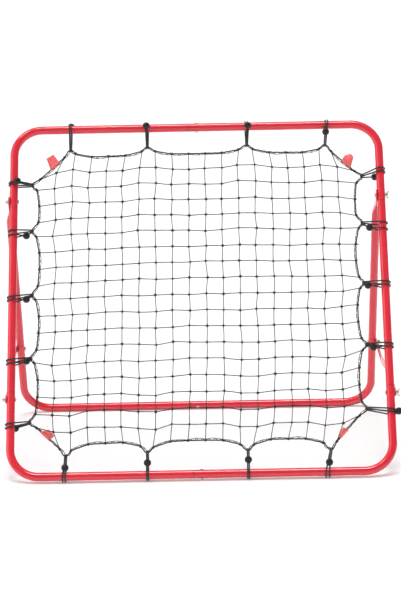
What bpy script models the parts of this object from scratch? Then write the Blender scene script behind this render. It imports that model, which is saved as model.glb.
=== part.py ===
"""A folding rebounder net on a steel tube stand, in metres, +Z up.

The origin is on the floor in the middle of the stand. +X is to the right and +Y to the back.
The front frame carries the net and leans back. The rear frame swings on the two pivot bolts.
"""

import math

import bmesh
import bpy
import numpy as np
from mathutils import Euler, Matrix, Vector

for leftover in list(bpy.data.objects):
    bpy.data.objects.remove(leftover, do_unlink=True)

# Tubes
TUBE_DIAMETER = 0.022
TUBE_WALL = 0.001
TUBE_SIDES = 10
FRAME_WIDTH = 1.000
FRAME_HEIGHT = 1.000
BEND_RADIUS = 0.075
BEND_STEPS = 5
CORNER_LEG = 0.210
LEG_SEAM_OFFSET = 0.018
BAR_SEAM_OFFSET = 0.021
NECK_LENGTH = 0.040
NECK_TAPER = 0.004

# Stance
FRONT_LEAN = math.radians(34.1)
REAR_LEAN = math.radians(23.52453)
FOLD_RANGE = math.radians(15.0)

# Flattened top of the rear legs
TAB_THICKNESS = 0.003
TAB_HALF_WIDTH = 0.0145
TAB_FLAT_LENGTH = 0.019
TAB_FLARE_LENGTH = 0.045

# Stays
STAY_THICKNESS = 0.003
STAY_WIDTH = 0.020
STAY_CRANK_START = 0.180
STAY_CRANK_LENGTH = 0.130
SLOT_STEPS = 3
SLOT_PLAY = 0.0005

# Fasteners
BOLT_DIAMETER = 0.006
BOLT_HEAD_DIAMETER = 0.012
BOLT_HEAD_HEIGHT = 0.0035
BOLT_SIDES = 8
JOINT_BOLT_DIAMETER = 0.005
JOINT_HEAD_DIAMETER = 0.0095
JOINT_HEAD_HEIGHT = 0.0025
JOINT_NUT_WIDTH = 0.008
JOINT_NUT_HEIGHT = 0.0027
WING_HUB_DIAMETER = 0.012
WING_HUB_HEIGHT = 0.0068
WING_SPAN = 0.025
WING_THICKNESS = 0.0022
WING_RISE = 0.0115
WING_TURNS = {
    ("pivot", "left"): math.radians(70),
    ("pivot", "right"): math.radians(55),
    ("front_stay", "left"): math.radians(75),
    ("front_stay", "right"): math.radians(50),
    ("rear_stay", "left"): math.radians(80),
    ("rear_stay", "right"): math.radians(65),
}
BOLT_STAND_OUT = 0.001

# Clearances
GAP = 0.0003
HOLE_CLEARANCE = 0.0003
ROPE_GAP = 0.00035

# Net
THREAD = 0.0022
COLUMN_PITCH = 0.0448
ROW_PITCH = 0.0474
THREAD_SLIP = {"top": -0.0008, "bottom": -0.0024, "left": 0.0054, "right": 0.0016}
THREAD_PULL = 24.0
ROPE_DIAMETER = 0.0036
ROPE_SIDES = 5
ROPE_FLAT = 0.0104
CORNER_FLAT = 0.0048
CORNER_KNOT_SHARE = 0.166
CORNER_SAG = 0.0065
TOP_SAG = 0.0220
BOTTOM_SAG = 0.0296
SIDE_SAG = 0.0195
SAG_POWER = 5.0

# Ball ties. A station is the distance along the tube from the corner: the left or top one, or,
# with a minus, the right or bottom one. The inset is from the tube's centre to the rope. The slant
# is how far along the tube the loop sits from the rope's end of the tie, and the spread is between
# its two strands there. The ball's place is inward from the tube's centre, along the tube, and
# towards the front.
CORD = 0.0038
BALL_DIAMETER = 0.019
STRAND_SPACING = 0.0044
LOOP_DEPTH = 0.0050
LOOP_SHOULDER = 0.0028
BALL_BITE = 0.005
CORNER_MERGE = 0.0075
WRAP_STEP = math.radians(45)
TIES = {
    "top": (
        (0.151, 0.061, 0.000, 0.006, (-0.0175, 0.000, -0.0170)),
        (0.357, 0.056, 0.000, 0.006, (0.0020, -0.002, 0.0210)),
        (-0.354, 0.055, 0.000, 0.006, (0.0065, 0.004, 0.0205)),
        (-0.144, 0.059, 0.006, 0.006, (0.0240, 0.003, 0.0080)),
    ),
    "bottom": (
        (0.142, 0.0545, -0.004, 0.007, (0.0195, -0.001, 0.0120)),
        (0.351, 0.0605, 0.000, 0.0045, (0.0300, 0.000, 0.0080)),
        (-0.370, 0.061, 0.000, 0.0045, (0.0335, 0.000, 0.0080)),
        (-0.158, 0.059, -0.011, 0.009, (0.0220, -0.006, 0.0100)),
    ),
    "left": (
        (0.162, 0.048, 0.004, 0.006, (0.0105, 0.005, 0.0195)),
        (0.296, 0.049, -0.006, 0.0125, (0.0350, -0.014, 0.0040)),
        (0.479, 0.051, -0.010, 0.009, (0.0370, -0.0125, 0.0040)),
        (-0.322, 0.049, -0.010, 0.010, (0.0398, -0.0095, 0.0080)),
        (-0.1465, 0.048, -0.0095, 0.010, (0.0106, -0.0075, -0.0205)),
    ),
    "right": (
        (0.154, 0.048, 0.015, 0.0105, (0.0130, 0.006, -0.0190)),
        (0.291, 0.052, -0.010, 0.018, (0.0345, -0.0145, 0.0040)),
        (0.462, 0.055, -0.004, 0.010, (0.0457, -0.010, 0.0080)),
        (-0.343, 0.055, -0.004, 0.009, (0.0385, -0.009, 0.0040)),
        (-0.167, 0.0615, -0.008, 0.008, (-0.0180, -0.0115, 0.0110)),
    ),
}

# Fabric tags on the corner runs of the rope: share of the way between the two outermost threads,
# then reach towards the frame's corner and towards the front.
TAG_WIDTH = 0.031
TAG_LENGTH = 0.027
TAG_THICKNESS = 0.0008
TAGS = {
    "top_left": (0.375, 0.0, 1.0),
    "top_right": (0.64, 0.73, 0.68),
    "bottom_left": (0.63, -0.69, -0.72),
    "bottom_right": (0.30, -0.85, -0.53),
}

# Sizes that follow from the ones above
TUBE_RADIUS = TUBE_DIAMETER / 2
TUBE_FLAT = TUBE_RADIUS * math.cos(math.pi / TUBE_SIDES)
BORE_RADIUS = TUBE_RADIUS - TUBE_WALL
NECK_RADIUS = BORE_RADIUS - GAP / math.cos(math.pi / TUBE_SIDES)
NECK_BORE = NECK_RADIUS - TUBE_WALL
HALF_WIDTH = FRAME_WIDTH / 2 - TUBE_RADIUS
CENTRE_HEIGHT = FRAME_HEIGHT - TUBE_DIAMETER
PIVOT_HEIGHT = CENTRE_HEIGHT - CORNER_LEG
SIDE_SHIFT = TUBE_RADIUS + TAB_THICKNESS / 2
HOLE_RADIUS = (BOLT_DIAMETER / 2 + HOLE_CLEARANCE) / math.cos(math.pi / BOLT_SIDES)
JOINT_HOLE_RADIUS = (JOINT_BOLT_DIAMETER / 2 + HOLE_CLEARANCE) / math.cos(math.pi / BOLT_SIDES)
FRONT_BAR_HEIGHT = TUBE_RADIUS + GAP + CORD
PIVOT_RISE = FRONT_BAR_HEIGHT + PIVOT_HEIGHT * math.cos(FRONT_LEAN) - TUBE_FLAT
REAR_LEG_LENGTH = PIVOT_RISE / math.cos(REAR_LEAN)
REAR_BOLT_DROP = REAR_LEG_LENGTH - CORNER_LEG
PIVOT_BACK = PIVOT_HEIGHT * math.sin(FRONT_LEAN)
REAR_BAR_BACK = PIVOT_BACK + REAR_LEG_LENGTH * math.sin(REAR_LEAN)
FRONT_BAR_Y = -(REAR_BAR_BACK + TUBE_RADIUS - FRONT_BAR_HEIGHT) / 2
FRONT_X = SIDE_SHIFT / 2
REAR_X = -SIDE_SHIFT / 2
PIVOT_Y = FRONT_BAR_Y + PIVOT_BACK
PIVOT_Z = FRONT_BAR_HEIGHT + PIVOT_HEIGHT * math.cos(FRONT_LEAN)
HOLE_LENGTH = 0.060
UPPER_SIDE = PIVOT_HEIGHT - CORNER_LEG


def bolt_distance(fold):
    """From the stay's lower bolt to its upper bolt, with the stand folded by an angle."""
    opening = FRONT_LEAN + REAR_LEAN - fold
    return math.sqrt(UPPER_SIDE ** 2 + REAR_BOLT_DROP ** 2
                     - 2 * UPPER_SIDE * REAR_BOLT_DROP * math.cos(opening))


def triangle_angle(near_one, near_two, opposite):
    """The angle of a triangle between its two near sides."""
    return math.acos((near_one ** 2 + near_two ** 2 - opposite ** 2) / (2 * near_one * near_two))


STAY_REACH = bolt_distance(0.0)
STAY_ANGLE = triangle_angle(REAR_BOLT_DROP, STAY_REACH, UPPER_SIDE)
FOLDED_ANGLE = triangle_angle(REAR_BOLT_DROP, bolt_distance(FOLD_RANGE), UPPER_SIDE)
STAY_SHARE = (FOLDED_ANGLE - STAY_ANGLE) / FOLD_RANGE


def material(name, colour, roughness, metallic=0.0):
    """A plain surface of one colour."""
    made = bpy.data.materials.new(name)
    made.use_nodes = True
    shader = made.node_tree.nodes["Principled BSDF"]
    shader.inputs["Base Color"].default_value = (*colour, 1.0)
    shader.inputs["Roughness"].default_value = roughness
    shader.inputs["Metallic"].default_value = metallic
    return made


RED_PAINT = material("red_powder_coat", (0.73, 0.030, 0.050), 0.30)
ZINC = material("zinc_plate", (0.62, 0.63, 0.62), 0.35, 1.0)
TWINE = material("black_twine", (0.030, 0.034, 0.034), 0.80)
ROPE = material("black_rope", (0.020, 0.022, 0.023), 0.85)
ELASTIC = material("black_elastic_and_ball", (0.025, 0.027, 0.028), 0.55)
WEBBING = material("coral_webbing", (0.85, 0.130, 0.110), 0.75)


def place(name, mesh, finish, parent=None, location=(0, 0, 0), rotation=(0, 0, 0)):
    """One named object, round where it is meant to be round."""
    thing = bpy.data.objects.new(name, mesh)
    bpy.context.scene.collection.objects.link(thing)
    thing.parent = parent
    thing.location = location
    thing.rotation_euler = rotation
    if finish is not None and not mesh.materials:
        mesh.materials.append(finish)
    mesh.shade_smooth()
    mesh.set_sharp_from_angle(angle=math.radians(40))
    return thing


def empty(name, location, rotation=(0, 0, 0), parent=None):
    """An axis that other pieces hang on."""
    axis = bpy.data.objects.new(name, None)
    axis.empty_display_size = 0.05
    bpy.context.scene.collection.objects.link(axis)
    axis.parent = parent
    axis.location = location
    axis.rotation_euler = rotation
    return axis


def guide(thing):
    """Keeps a cutter or a helper shape out of the model."""
    thing.hide_render = True
    thing.display_type = "WIRE"
    return thing


def combine(thing, tool, operation="DIFFERENCE"):
    """Cuts a helper shape out of a piece, or joins it on."""
    step = thing.modifiers.new(operation.lower(), "BOOLEAN")
    step.operation = operation
    step.solver = "EXACT"
    step.object = tool
    return thing


def skin(rings, closed=False):
    """A surface through rings of points. Closed runs from the last ring back to the first."""
    bm = bmesh.new()
    loops = [[bm.verts.new(point) for point in ring] for ring in rings]
    pairs = list(zip(loops, loops[1:]))
    if closed:
        pairs.append((loops[-1], loops[0]))
    for first, second in pairs:
        for index, corner in enumerate(first):
            after = (index + 1) % len(first)
            bm.faces.new((corner, first[after], second[after], second[index]))
    if not closed:
        bm.faces.new(loops[0])
        bm.faces.new(reversed(loops[-1]))
    bmesh.ops.recalc_face_normals(bm, faces=bm.faces)
    mesh = bpy.data.meshes.new("skin")
    bm.to_mesh(mesh)
    bm.free()
    return mesh


def section(centre, outward, normal, radius, facet, sides=TUBE_SIDES):
    """A ring of points round a tube's centre, with one flat facing the facet angle."""
    ring = []
    for index in range(sides):
        angle = facet + (index + 0.5) * math.tau / sides
        ring.append(centre + radius * (math.cos(angle) * outward + math.sin(angle) * normal))
    return ring


def turned(profile, sides=BOLT_SIDES):
    """A solid of revolution about Z from (radius, height) points."""
    rings = [section(Vector((0, 0, height)), Vector((1, 0, 0)), Vector((0, 1, 0)), radius, 0.0, sides)
             for radius, height in profile]
    return skin(rings)


def spun(turn, angle):
    """A piece's rotation, with a further turn about its own axis."""
    return (Euler(turn).to_matrix() @ Matrix.Rotation(angle, 3, "Z")).to_euler()


def bolt_hole(name, parent, location, rotation, radius):
    """The straight hole that one bolt needs through everything it passes."""
    half = HOLE_LENGTH / 2
    mesh = turned(((radius, -half), (radius, half)))
    return guide(place(name, mesh, None, parent, location, rotation))


ALONG_X = (0, math.pi / 2, 0)
AGAINST_X = (0, -math.pi / 2, 0)
ALONG_Z = (0, 0, 0)
AGAINST_Z = (math.pi, 0, 0)
ALONG_Y = (-math.pi / 2, 0, 0)


def corner_tube(across, rise, leg_end, bar_end, facet, neck):
    """A tube bent by a right angle. Across and rise are the directions, +1 or -1, of its arms.

    The outer wall runs from the leg's end round the bend to the bar's end, and the bore runs
    back. A neck is the drawn-in end that slides into the next tube.
    """
    normal = Vector((0, 1, 0))

    def station(distance_up=None, angle=None, distance_along=None):
        if distance_up is not None:
            return Vector((0, 0, rise * distance_up)), Vector((-across, 0, 0))
        if distance_along is not None:
            return Vector((across * distance_along, 0, 0)), Vector((0, 0, -rise))
        sine, cosine = math.sin(angle), math.cos(angle)
        centre = Vector((across * BEND_RADIUS * (1 - cosine), 0, rise * BEND_RADIUS * (1 - sine)))
        return centre, Vector((-across * cosine, 0, -rise * sine))

    stations = [station(distance_up=leg_end)]
    for step in range(BEND_STEPS + 1):
        stations.append(station(angle=step * math.pi / 2 / BEND_STEPS))
    outer = [section(c, o, normal, TUBE_RADIUS, facet) for c, o in stations]
    bore = [section(c, o, normal, BORE_RADIUS, facet) for c, o in stations]
    for radii, rings in ((("shoulder", TUBE_RADIUS, NECK_RADIUS), outer),
                         (("inside", BORE_RADIUS, NECK_BORE), bore)):
        kind, wide, narrow = radii
        if not neck:
            places = ((bar_end, wide),)
        elif kind == "shoulder":
            places = ((bar_end, wide), (bar_end, narrow), (bar_end + NECK_LENGTH, narrow))
        else:
            places = ((bar_end - 2 * NECK_TAPER, wide), (bar_end - NECK_TAPER, narrow),
                      (bar_end + NECK_LENGTH, narrow))
        for distance, radius in places:
            centre, outward = station(distance_along=distance)
            rings.append(section(centre, outward, normal, radius, facet))
    return skin(outer + bore[::-1], closed=True)


def side_tube(length):
    """A straight tube with a neck at each end. Z runs from the lower shoulder to the upper."""
    outward, normal = Vector((1, 0, 0)), Vector((0, 1, 0))
    outside = ((-NECK_LENGTH, NECK_RADIUS), (0, NECK_RADIUS), (0, TUBE_RADIUS),
               (length, TUBE_RADIUS), (length, NECK_RADIUS), (length + NECK_LENGTH, NECK_RADIUS))
    inside = ((length + NECK_LENGTH, NECK_BORE), (length - NECK_TAPER, NECK_BORE),
              (length - 2 * NECK_TAPER, BORE_RADIUS), (2 * NECK_TAPER, BORE_RADIUS),
              (NECK_TAPER, NECK_BORE), (-NECK_LENGTH, NECK_BORE))
    rings = [section(Vector((0, 0, z)), outward, normal, radius, 0.0)
             for z, radius in outside + inside]
    return skin(rings, closed=True)


def upper_leg(shoulder, facet):
    """A rear leg's upper tube: flattened round the pivot at Z = 0, with a neck at its foot."""
    outward, normal = Vector((1, 0, 0)), Vector((0, 1, 0))

    def flattened(z, share, half_width):
        ring = []
        for index in range(TUBE_SIDES):
            angle = facet + (index + 0.5) * math.tau / TUBE_SIDES
            flat = max(-1.0, min(1.0, 2 * math.cos(angle))) * TAB_THICKNESS / 2
            x = (1 - share) * TUBE_RADIUS * math.cos(angle) + share * flat
            width = (1 - share) * TUBE_RADIUS + share * half_width
            ring.append(Vector((x, width * math.sin(angle), z)))
        return ring

    rings = []
    for angle in (math.radians(72), math.radians(48), math.radians(24)):
        rings.append(flattened(TAB_HALF_WIDTH * math.sin(angle), 1.0,
                               TAB_HALF_WIDTH * math.cos(angle)))
    rings.append(flattened(0, 1.0, TAB_HALF_WIDTH))
    rings.append(flattened(-TAB_FLAT_LENGTH, 1.0, TAB_HALF_WIDTH))
    rings.append(flattened(-TAB_FLAT_LENGTH - 0.45 * TAB_FLARE_LENGTH, 0.45, TAB_HALF_WIDTH))
    foot = -shoulder
    bore_end = -TAB_FLAT_LENGTH - TAB_FLARE_LENGTH
    for z, radius in ((bore_end, TUBE_RADIUS), (foot, TUBE_RADIUS), (foot, NECK_RADIUS),
                      (foot - NECK_LENGTH, NECK_RADIUS), (foot - NECK_LENGTH, NECK_BORE),
                      (foot + NECK_TAPER, NECK_BORE), (foot + 2 * NECK_TAPER, BORE_RADIUS),
                      (bore_end, BORE_RADIUS)):
        rings.append(section(Vector((0, 0, z)), outward, normal, radius, facet))
    return skin(rings)


def bolt(length, diameter, head_diameter, head_height):
    """A round-headed bolt. The head's seat is at Z = 0 and the shank runs up."""
    head, shank = head_diameter / 2, diameter / 2
    return turned(((head * 0.45, -head_height), (head * 0.85, -head_height * 0.7),
                   (head, -head_height * 0.25), (head, 0), (shank, 0), (shank, length)))


def hex_nut(width, height, bore_radius):
    """A thin six-sided nut, standing on Z = 0."""
    across_corners = width / math.cos(math.pi / 6) / 2
    x, y = Vector((1, 0, 0)), Vector((0, 1, 0))
    rings = [section(Vector((0, 0, z)), x, y, radius, 0.0, 6)
             for z, radius in ((0, bore_radius), (0, across_corners),
                               (height, across_corners), (height, bore_radius))]
    return skin(rings, closed=True)


def wing_nut():
    """A wing nut standing on Z = 0, bored for the bolt, with its wings along X."""
    hub = place("wing_nut_hub", turned(((WING_HUB_DIAMETER / 2, 0), (WING_HUB_DIAMETER / 2, 0.002),
                                        (WING_HUB_DIAMETER * 0.42, WING_HUB_HEIGHT))), ZINC)
    outline = ((0.0, 0.0015), (0.0050, 0.0015), (WING_SPAN * 0.48, 0.009),
               (WING_SPAN * 0.48, WING_RISE), (WING_SPAN * 0.36, WING_RISE), (0.0045, 0.0072),
               (0.0, 0.0072))
    half = WING_THICKNESS / 2
    loop = outline + tuple((-x, z) for x, z in reversed(outline[1:-1]))
    wings = guide(place("wings", skin([[Vector((x, y, z)) for x, z in loop] for y in (-half, half)]),
                        ZINC))
    bore = guide(place("wing_nut_bore", turned(((HOLE_RADIUS, -0.005), (HOLE_RADIUS, 0.02))), ZINC))
    combine(hub, wings, "UNION")
    combine(hub, bore)
    mesh = bpy.data.meshes.new_from_object(hub.evaluated_get(bpy.context.evaluated_depsgraph_get()))
    for helper in (hub, wings, bore):
        bpy.data.objects.remove(helper)
    return mesh


def stay(sideways):
    """A flat stay from its upper bolt at Z = 0 down to its lower bolt at Z = -STAY_REACH.

    It is cranked sideways between the two, because the frames stand side by side.
    """
    radius = STAY_WIDTH / 2
    ends = [math.radians(angle) for angle in (70, 40, 0)]
    stations = [(radius * math.sin(a), radius * math.cos(a), 0.0) for a in ends]
    for share in (0.0, 0.3, 0.7, 1.0):
        ease = share * share * (3 - 2 * share)
        stations.append((-STAY_CRANK_START - share * STAY_CRANK_LENGTH, radius, ease * sideways))
    stations += [(-STAY_REACH - radius * math.sin(a), radius * math.cos(a), sideways)
                 for a in ends[::-1]]
    half = STAY_THICKNESS / 2
    rings = [[Vector((shift + x, y, z)) for x, y in
              ((-half, -width), (half, -width), (half, width), (-half, width))]
             for z, width, shift in stations]
    return skin(rings)


def stay_slot(sideways):
    """The slot that the lower bolt slides along as the stand folds.

    The bolt lies where the triangle of the pivot bolt and the stay's two bolts puts it, while
    the stay turns on its upper bolt at a steady share of the fold.
    """
    path = []
    for step in range(SLOT_STEPS + 1):
        fold = FOLD_RANGE * step / SLOT_STEPS
        reach = bolt_distance(fold)
        lag = triangle_angle(REAR_BOLT_DROP, reach, UPPER_SIDE) - STAY_ANGLE - STAY_SHARE * fold
        path.append((reach * math.sin(lag), -reach * math.cos(lag)))
    half = HOLE_RADIUS + SLOT_PLAY
    outline = [(y + half, z) for y, z in path]
    for degrees in (45, 90, 135):
        a = math.radians(degrees)
        outline.append((path[-1][0] + half * math.cos(a), path[-1][1] + half * math.sin(a)))
    outline += [(y - half, z) for y, z in reversed(path)]
    for degrees in (225, 270, 315):
        a = math.radians(degrees)
        outline.append((path[0][0] + half * math.cos(a), path[0][1] + half * math.sin(a)))
    return skin([[Vector((sideways + x, y, z)) for y, z in outline]
                 for x in (-2 * STAY_THICKNESS, 2 * STAY_THICKNESS)])


# The front frame stands on the cords under its bottom bar, so its axis is at that bar's centre.
front = empty("front_frame_axis", (FRONT_X, FRONT_BAR_Y, FRONT_BAR_HEIGHT), (-FRONT_LEAN, 0, 0))
rear = empty("rear_frame_pivot_axis", (REAR_X, PIVOT_Y, PIVOT_Z), (REAR_LEAN, 0, 0))

# Bolt holes, one for each bolt, shared by every piece that the bolt passes through
SIDES = (("left", -1), ("right", 1))
holes = {}
for side, sign in SIDES:
    x = sign * HALF_WIDTH
    holes["pivot", side] = bolt_hole(f"pivot_hole_{side}", front, (x, 0, PIVOT_HEIGHT),
                                     ALONG_X, HOLE_RADIUS)
    holes["front", side] = bolt_hole(f"front_stay_hole_{side}", front, (x, 0, CORNER_LEG),
                                     ALONG_X, HOLE_RADIUS)
    holes["rear", side] = bolt_hole(f"rear_stay_hole_{side}", rear, (x, 0, -REAR_BOLT_DROP),
                                    ALONG_X, HOLE_RADIUS)
holes["top"] = bolt_hole("top_joint_hole", front, (0, 0, CENTRE_HEIGHT), ALONG_Z,
                         JOINT_HOLE_RADIUS)
holes["bottom"] = bolt_hole("bottom_joint_hole", front, (0, 0, 0), ALONG_Z, JOINT_HOLE_RADIUS)
holes["rear_bar"] = bolt_hole("rear_joint_hole", rear, (0, 0, -REAR_LEG_LENGTH), ALONG_Y,
                              JOINT_HOLE_RADIUS)

# Corner tubes. The left one of each pair has the neck, and the seam is left of the bolt.
leg_end = CORNER_LEG + LEG_SEAM_OFFSET
for level, rise, height, bar_hole, leg_hole in (("bottom", 1, 0, "bottom", "front"),
                                                ("top", -1, CENTRE_HEIGHT, "top", "pivot")):
    for side, sign in SIDES:
        neck = side == "left"
        bar_end = HALF_WIDTH - BAR_SEAM_OFFSET if neck else HALF_WIDTH + BAR_SEAM_OFFSET - GAP
        mesh = corner_tube(-sign, rise, leg_end - GAP, bar_end, 0.0, neck)
        tube = place(f"front_{level}_{side}_corner_tube", mesh, RED_PAINT, front,
                     (sign * HALF_WIDTH, 0, height))
        combine(tube, holes[bar_hole])
        combine(tube, holes[leg_hole, side])
for side, sign in SIDES:
    neck = side == "left"
    bar_end = HALF_WIDTH - BAR_SEAM_OFFSET if neck else HALF_WIDTH + BAR_SEAM_OFFSET - GAP
    mesh = corner_tube(-sign, 1, leg_end - GAP, bar_end, -REAR_LEAN, neck)
    tube = place(f"rear_{side}_corner_tube", mesh, RED_PAINT, rear,
                 (sign * HALF_WIDTH, 0, -REAR_LEG_LENGTH))
    combine(tube, holes["rear_bar"])
    combine(tube, holes["rear", side])

# Straight tubes
side_length = PIVOT_HEIGHT - CORNER_LEG - 2 * LEG_SEAM_OFFSET
for side, sign in SIDES:
    tube = place(f"front_{side}_side_tube", side_tube(side_length), RED_PAINT, front,
                 (sign * HALF_WIDTH, 0, leg_end))
    combine(tube, holes["front", side])
    combine(tube, holes["pivot", side])
    leg = place(f"rear_{side}_upper_leg", upper_leg(REAR_BOLT_DROP - LEG_SEAM_OFFSET,
                                                    -sign * REAR_LEAN),
                RED_PAINT, rear, (sign * HALF_WIDTH, 0, 0))
    combine(leg, holes["pivot", side])
    combine(leg, holes["rear", side])

# Where the pieces lie across each side bolt, measured from the front or rear tube's centre
TAB_FACE = SIDE_SHIFT + TAB_THICKNESS / 2
STAY_AT_FRONT = TUBE_FLAT + GAP + STAY_THICKNESS / 2
STAY_AT_REAR = TUBE_RADIUS + GAP + STAY_THICKNESS / 2
WING_SEAT_PIVOT = {"left": TAB_FACE + GAP, "right": TUBE_FLAT + GAP}
HEAD_SEAT_PIVOT = {"left": TUBE_FLAT + GAP, "right": TAB_FACE + GAP}
nut_mesh = wing_nut()


def side_bolt(name, side, sign, parent, location, head_seat, nut_seat):
    """A bolt with its head towards the net and its wing nut on the outside."""
    length = head_seat + nut_seat + WING_HUB_HEIGHT + BOLT_STAND_OUT
    mesh = bolt(length, BOLT_DIAMETER, BOLT_HEAD_DIAMETER, BOLT_HEAD_HEIGHT)
    turn = ALONG_X if sign > 0 else AGAINST_X
    x, y, z = location
    place(f"{name}_bolt_{side}", mesh, ZINC, parent, (x - sign * head_seat, y, z), turn)
    place(f"{name}_wing_nut_{side}", nut_mesh, ZINC, parent, (x + sign * nut_seat, y, z),
          spun(turn, WING_TURNS[name, side]))


for side, sign in SIDES:
    x = sign * HALF_WIDTH
    side_bolt("pivot", side, sign, front, (x, 0, PIVOT_HEIGHT),
              HEAD_SEAT_PIVOT[side], WING_SEAT_PIVOT[side])
    side_bolt("front_stay", side, sign, front, (x, 0, CORNER_LEG), TUBE_FLAT + GAP,
              STAY_AT_FRONT + STAY_THICKNESS / 2 + GAP)
    side_bolt("rear_stay", side, sign, rear, (x, 0, -REAR_BOLT_DROP), TUBE_RADIUS + GAP,
              STAY_AT_REAR + STAY_THICKNESS / 2 + GAP)

# Bolts through the middle of the three bars, each with a thin nut
for name, parent, location, turn in (
        ("top", front, Vector((0, 0, CENTRE_HEIGHT)), AGAINST_Z),
        ("bottom", front, Vector((0, 0, 0)), AGAINST_Z),
        ("rear", rear, Vector((0, 0, -REAR_LEG_LENGTH)), ALONG_Y)):
    axis = Matrix.Rotation(turn[0], 3, "X") @ Vector((0, 0, 1))
    seat = (TUBE_FLAT if parent is front else TUBE_RADIUS) + GAP
    mesh = bolt(2 * seat + JOINT_NUT_HEIGHT, JOINT_BOLT_DIAMETER, JOINT_HEAD_DIAMETER,
                JOINT_HEAD_HEIGHT)
    place(f"{name}_bar_bolt", mesh, ZINC, parent, location - seat * axis, turn)
    place(f"{name}_bar_nut", hex_nut(JOINT_NUT_WIDTH, JOINT_NUT_HEIGHT, JOINT_HOLE_RADIUS),
          ZINC, parent, location + seat * axis, turn)

# Stays, from the rear bolt to the front bolt on each side
rear_bolt = Vector((PIVOT_Y + REAR_BOLT_DROP * math.sin(REAR_LEAN),
                    PIVOT_Z - REAR_BOLT_DROP * math.cos(REAR_LEAN)))
front_bolt = Vector((FRONT_BAR_Y + CORNER_LEG * math.sin(FRONT_LEAN),
                     FRONT_BAR_HEIGHT + CORNER_LEG * math.cos(FRONT_LEAN)))
stay_lean = math.atan2(front_bolt.x - rear_bolt.x, rear_bolt.y - front_bolt.y)
for side, sign in SIDES:
    at_rear = REAR_X + sign * (HALF_WIDTH + STAY_AT_REAR)
    at_front = FRONT_X + sign * (HALF_WIDTH + STAY_AT_FRONT)
    location = (at_rear, rear_bolt.x, rear_bolt.y)
    piece = place(f"stay_{side}", stay(at_front - at_rear), RED_PAINT, None, location,
                  (stay_lean, 0, 0))
    cutter = guide(place(f"stay_slot_{side}", stay_slot(at_front - at_rear), None, None,
                         location, (stay_lean, 0, 0)))
    combine(piece, holes["rear", side])
    combine(piece, cutter)


def tie_node(side, station, inset):
    """The place where a tie holds the rope, as (across, up) in the frame's plane."""
    across = station - math.copysign(HALF_WIDTH, station)
    up = CENTRE_HEIGHT - station if station > 0 else -station
    return {"top": (across, CENTRE_HEIGHT - inset), "bottom": (across, inset),
            "left": (inset - HALF_WIDTH, up), "right": (HALF_WIDTH - inset, up)}[side]


NODES = {side: [np.array(tie_node(side, tie[0], tie[1])) for tie in ties]
         for side, ties in TIES.items()}


def threads_between(side, axis, pitch):
    """How many threads of the net meet the rope between each two ties of a side."""
    nodes = NODES[side]
    return [max(1, round(abs(second[axis] - first[axis]) / pitch))
            for first, second in zip(nodes, nodes[1:])]


UPRIGHTS_BETWEEN = threads_between("top", 0, COLUMN_PITCH)
LEVELS_BETWEEN = threads_between("left", 1, ROW_PITCH)
COLUMNS = sum(UPRIGHTS_BETWEEN) + 2
ROWS = sum(LEVELS_BETWEEN) + 2


def edge_points(side, pitch, sag):
    """Where threads meet the rope along one side: evenly, in the middle between two ties.

    Between the ties the rope bows inward.
    """
    axis = 0 if side in ("top", "bottom") else 1
    inward = 1 if side in ("left", "bottom") else -1
    points = []
    nodes = NODES[side]
    counts = LEVELS_BETWEEN if axis else UPRIGHTS_BETWEEN
    for first, second, count in zip(nodes, nodes[1:], counts):
        run = second[axis] - first[axis]
        middle = (first[axis] + second[axis]) / 2 + THREAD_SLIP[side]
        for index in range(count):
            met = middle + (index - (count - 1) / 2) * math.copysign(pitch, run)
            share = (met - first[axis]) / run
            point = first + share * (second - first)
            point[1 - axis] += inward * sag * (1 - abs(2 * share - 1) ** SAG_POWER)
            points.append(point)
    return points


def corner_points(first, second):
    """Where the two outermost threads meet the rope between two corner ties.

    The first tie is on a bar and the second on an upright. Both threads draw the rope inward.
    """
    toward = second - first
    start = first + np.array((math.copysign(CORNER_FLAT, toward[0]), 0.0))
    stop = second - np.array((0.0, math.copysign(CORNER_FLAT, toward[1])))
    run = stop - start
    inward = np.array((-math.copysign(1.0, first[0]), math.copysign(1.0, CENTRE_HEIGHT / 2 - first[1])))
    inward -= (inward @ run) / (run @ run) * run
    inward *= CORNER_SAG / np.linalg.norm(inward)
    return [start + CORNER_KNOT_SHARE * run + inward, stop - CORNER_KNOT_SHARE * run + inward]


top_ends = edge_points("top", COLUMN_PITCH, TOP_SAG)
bottom_ends = edge_points("bottom", COLUMN_PITCH, BOTTOM_SAG)
left_ends = edge_points("left", ROW_PITCH, SIDE_SAG)
right_ends = edge_points("right", ROW_PITCH, SIDE_SAG)
corners = {
    "top_left": corner_points(NODES["top"][0], NODES["left"][0]),
    "top_right": corner_points(NODES["top"][-1], NODES["right"][0]),
    "bottom_left": corner_points(NODES["bottom"][0], NODES["left"][-1]),
    "bottom_right": corner_points(NODES["bottom"][-1], NODES["right"][-1]),
}
COLUMN_ENDS = {
    "top": [corners["top_left"][0], *top_ends, corners["top_right"][0]],
    "bottom": [corners["bottom_left"][0], *bottom_ends, corners["bottom_right"][0]],
}
ROW_ENDS = {
    "left": [corners["top_left"][1], *left_ends, corners["bottom_left"][1]][::-1],
    "right": [corners["top_right"][1], *right_ends, corners["bottom_right"][1]][::-1],
}


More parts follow.
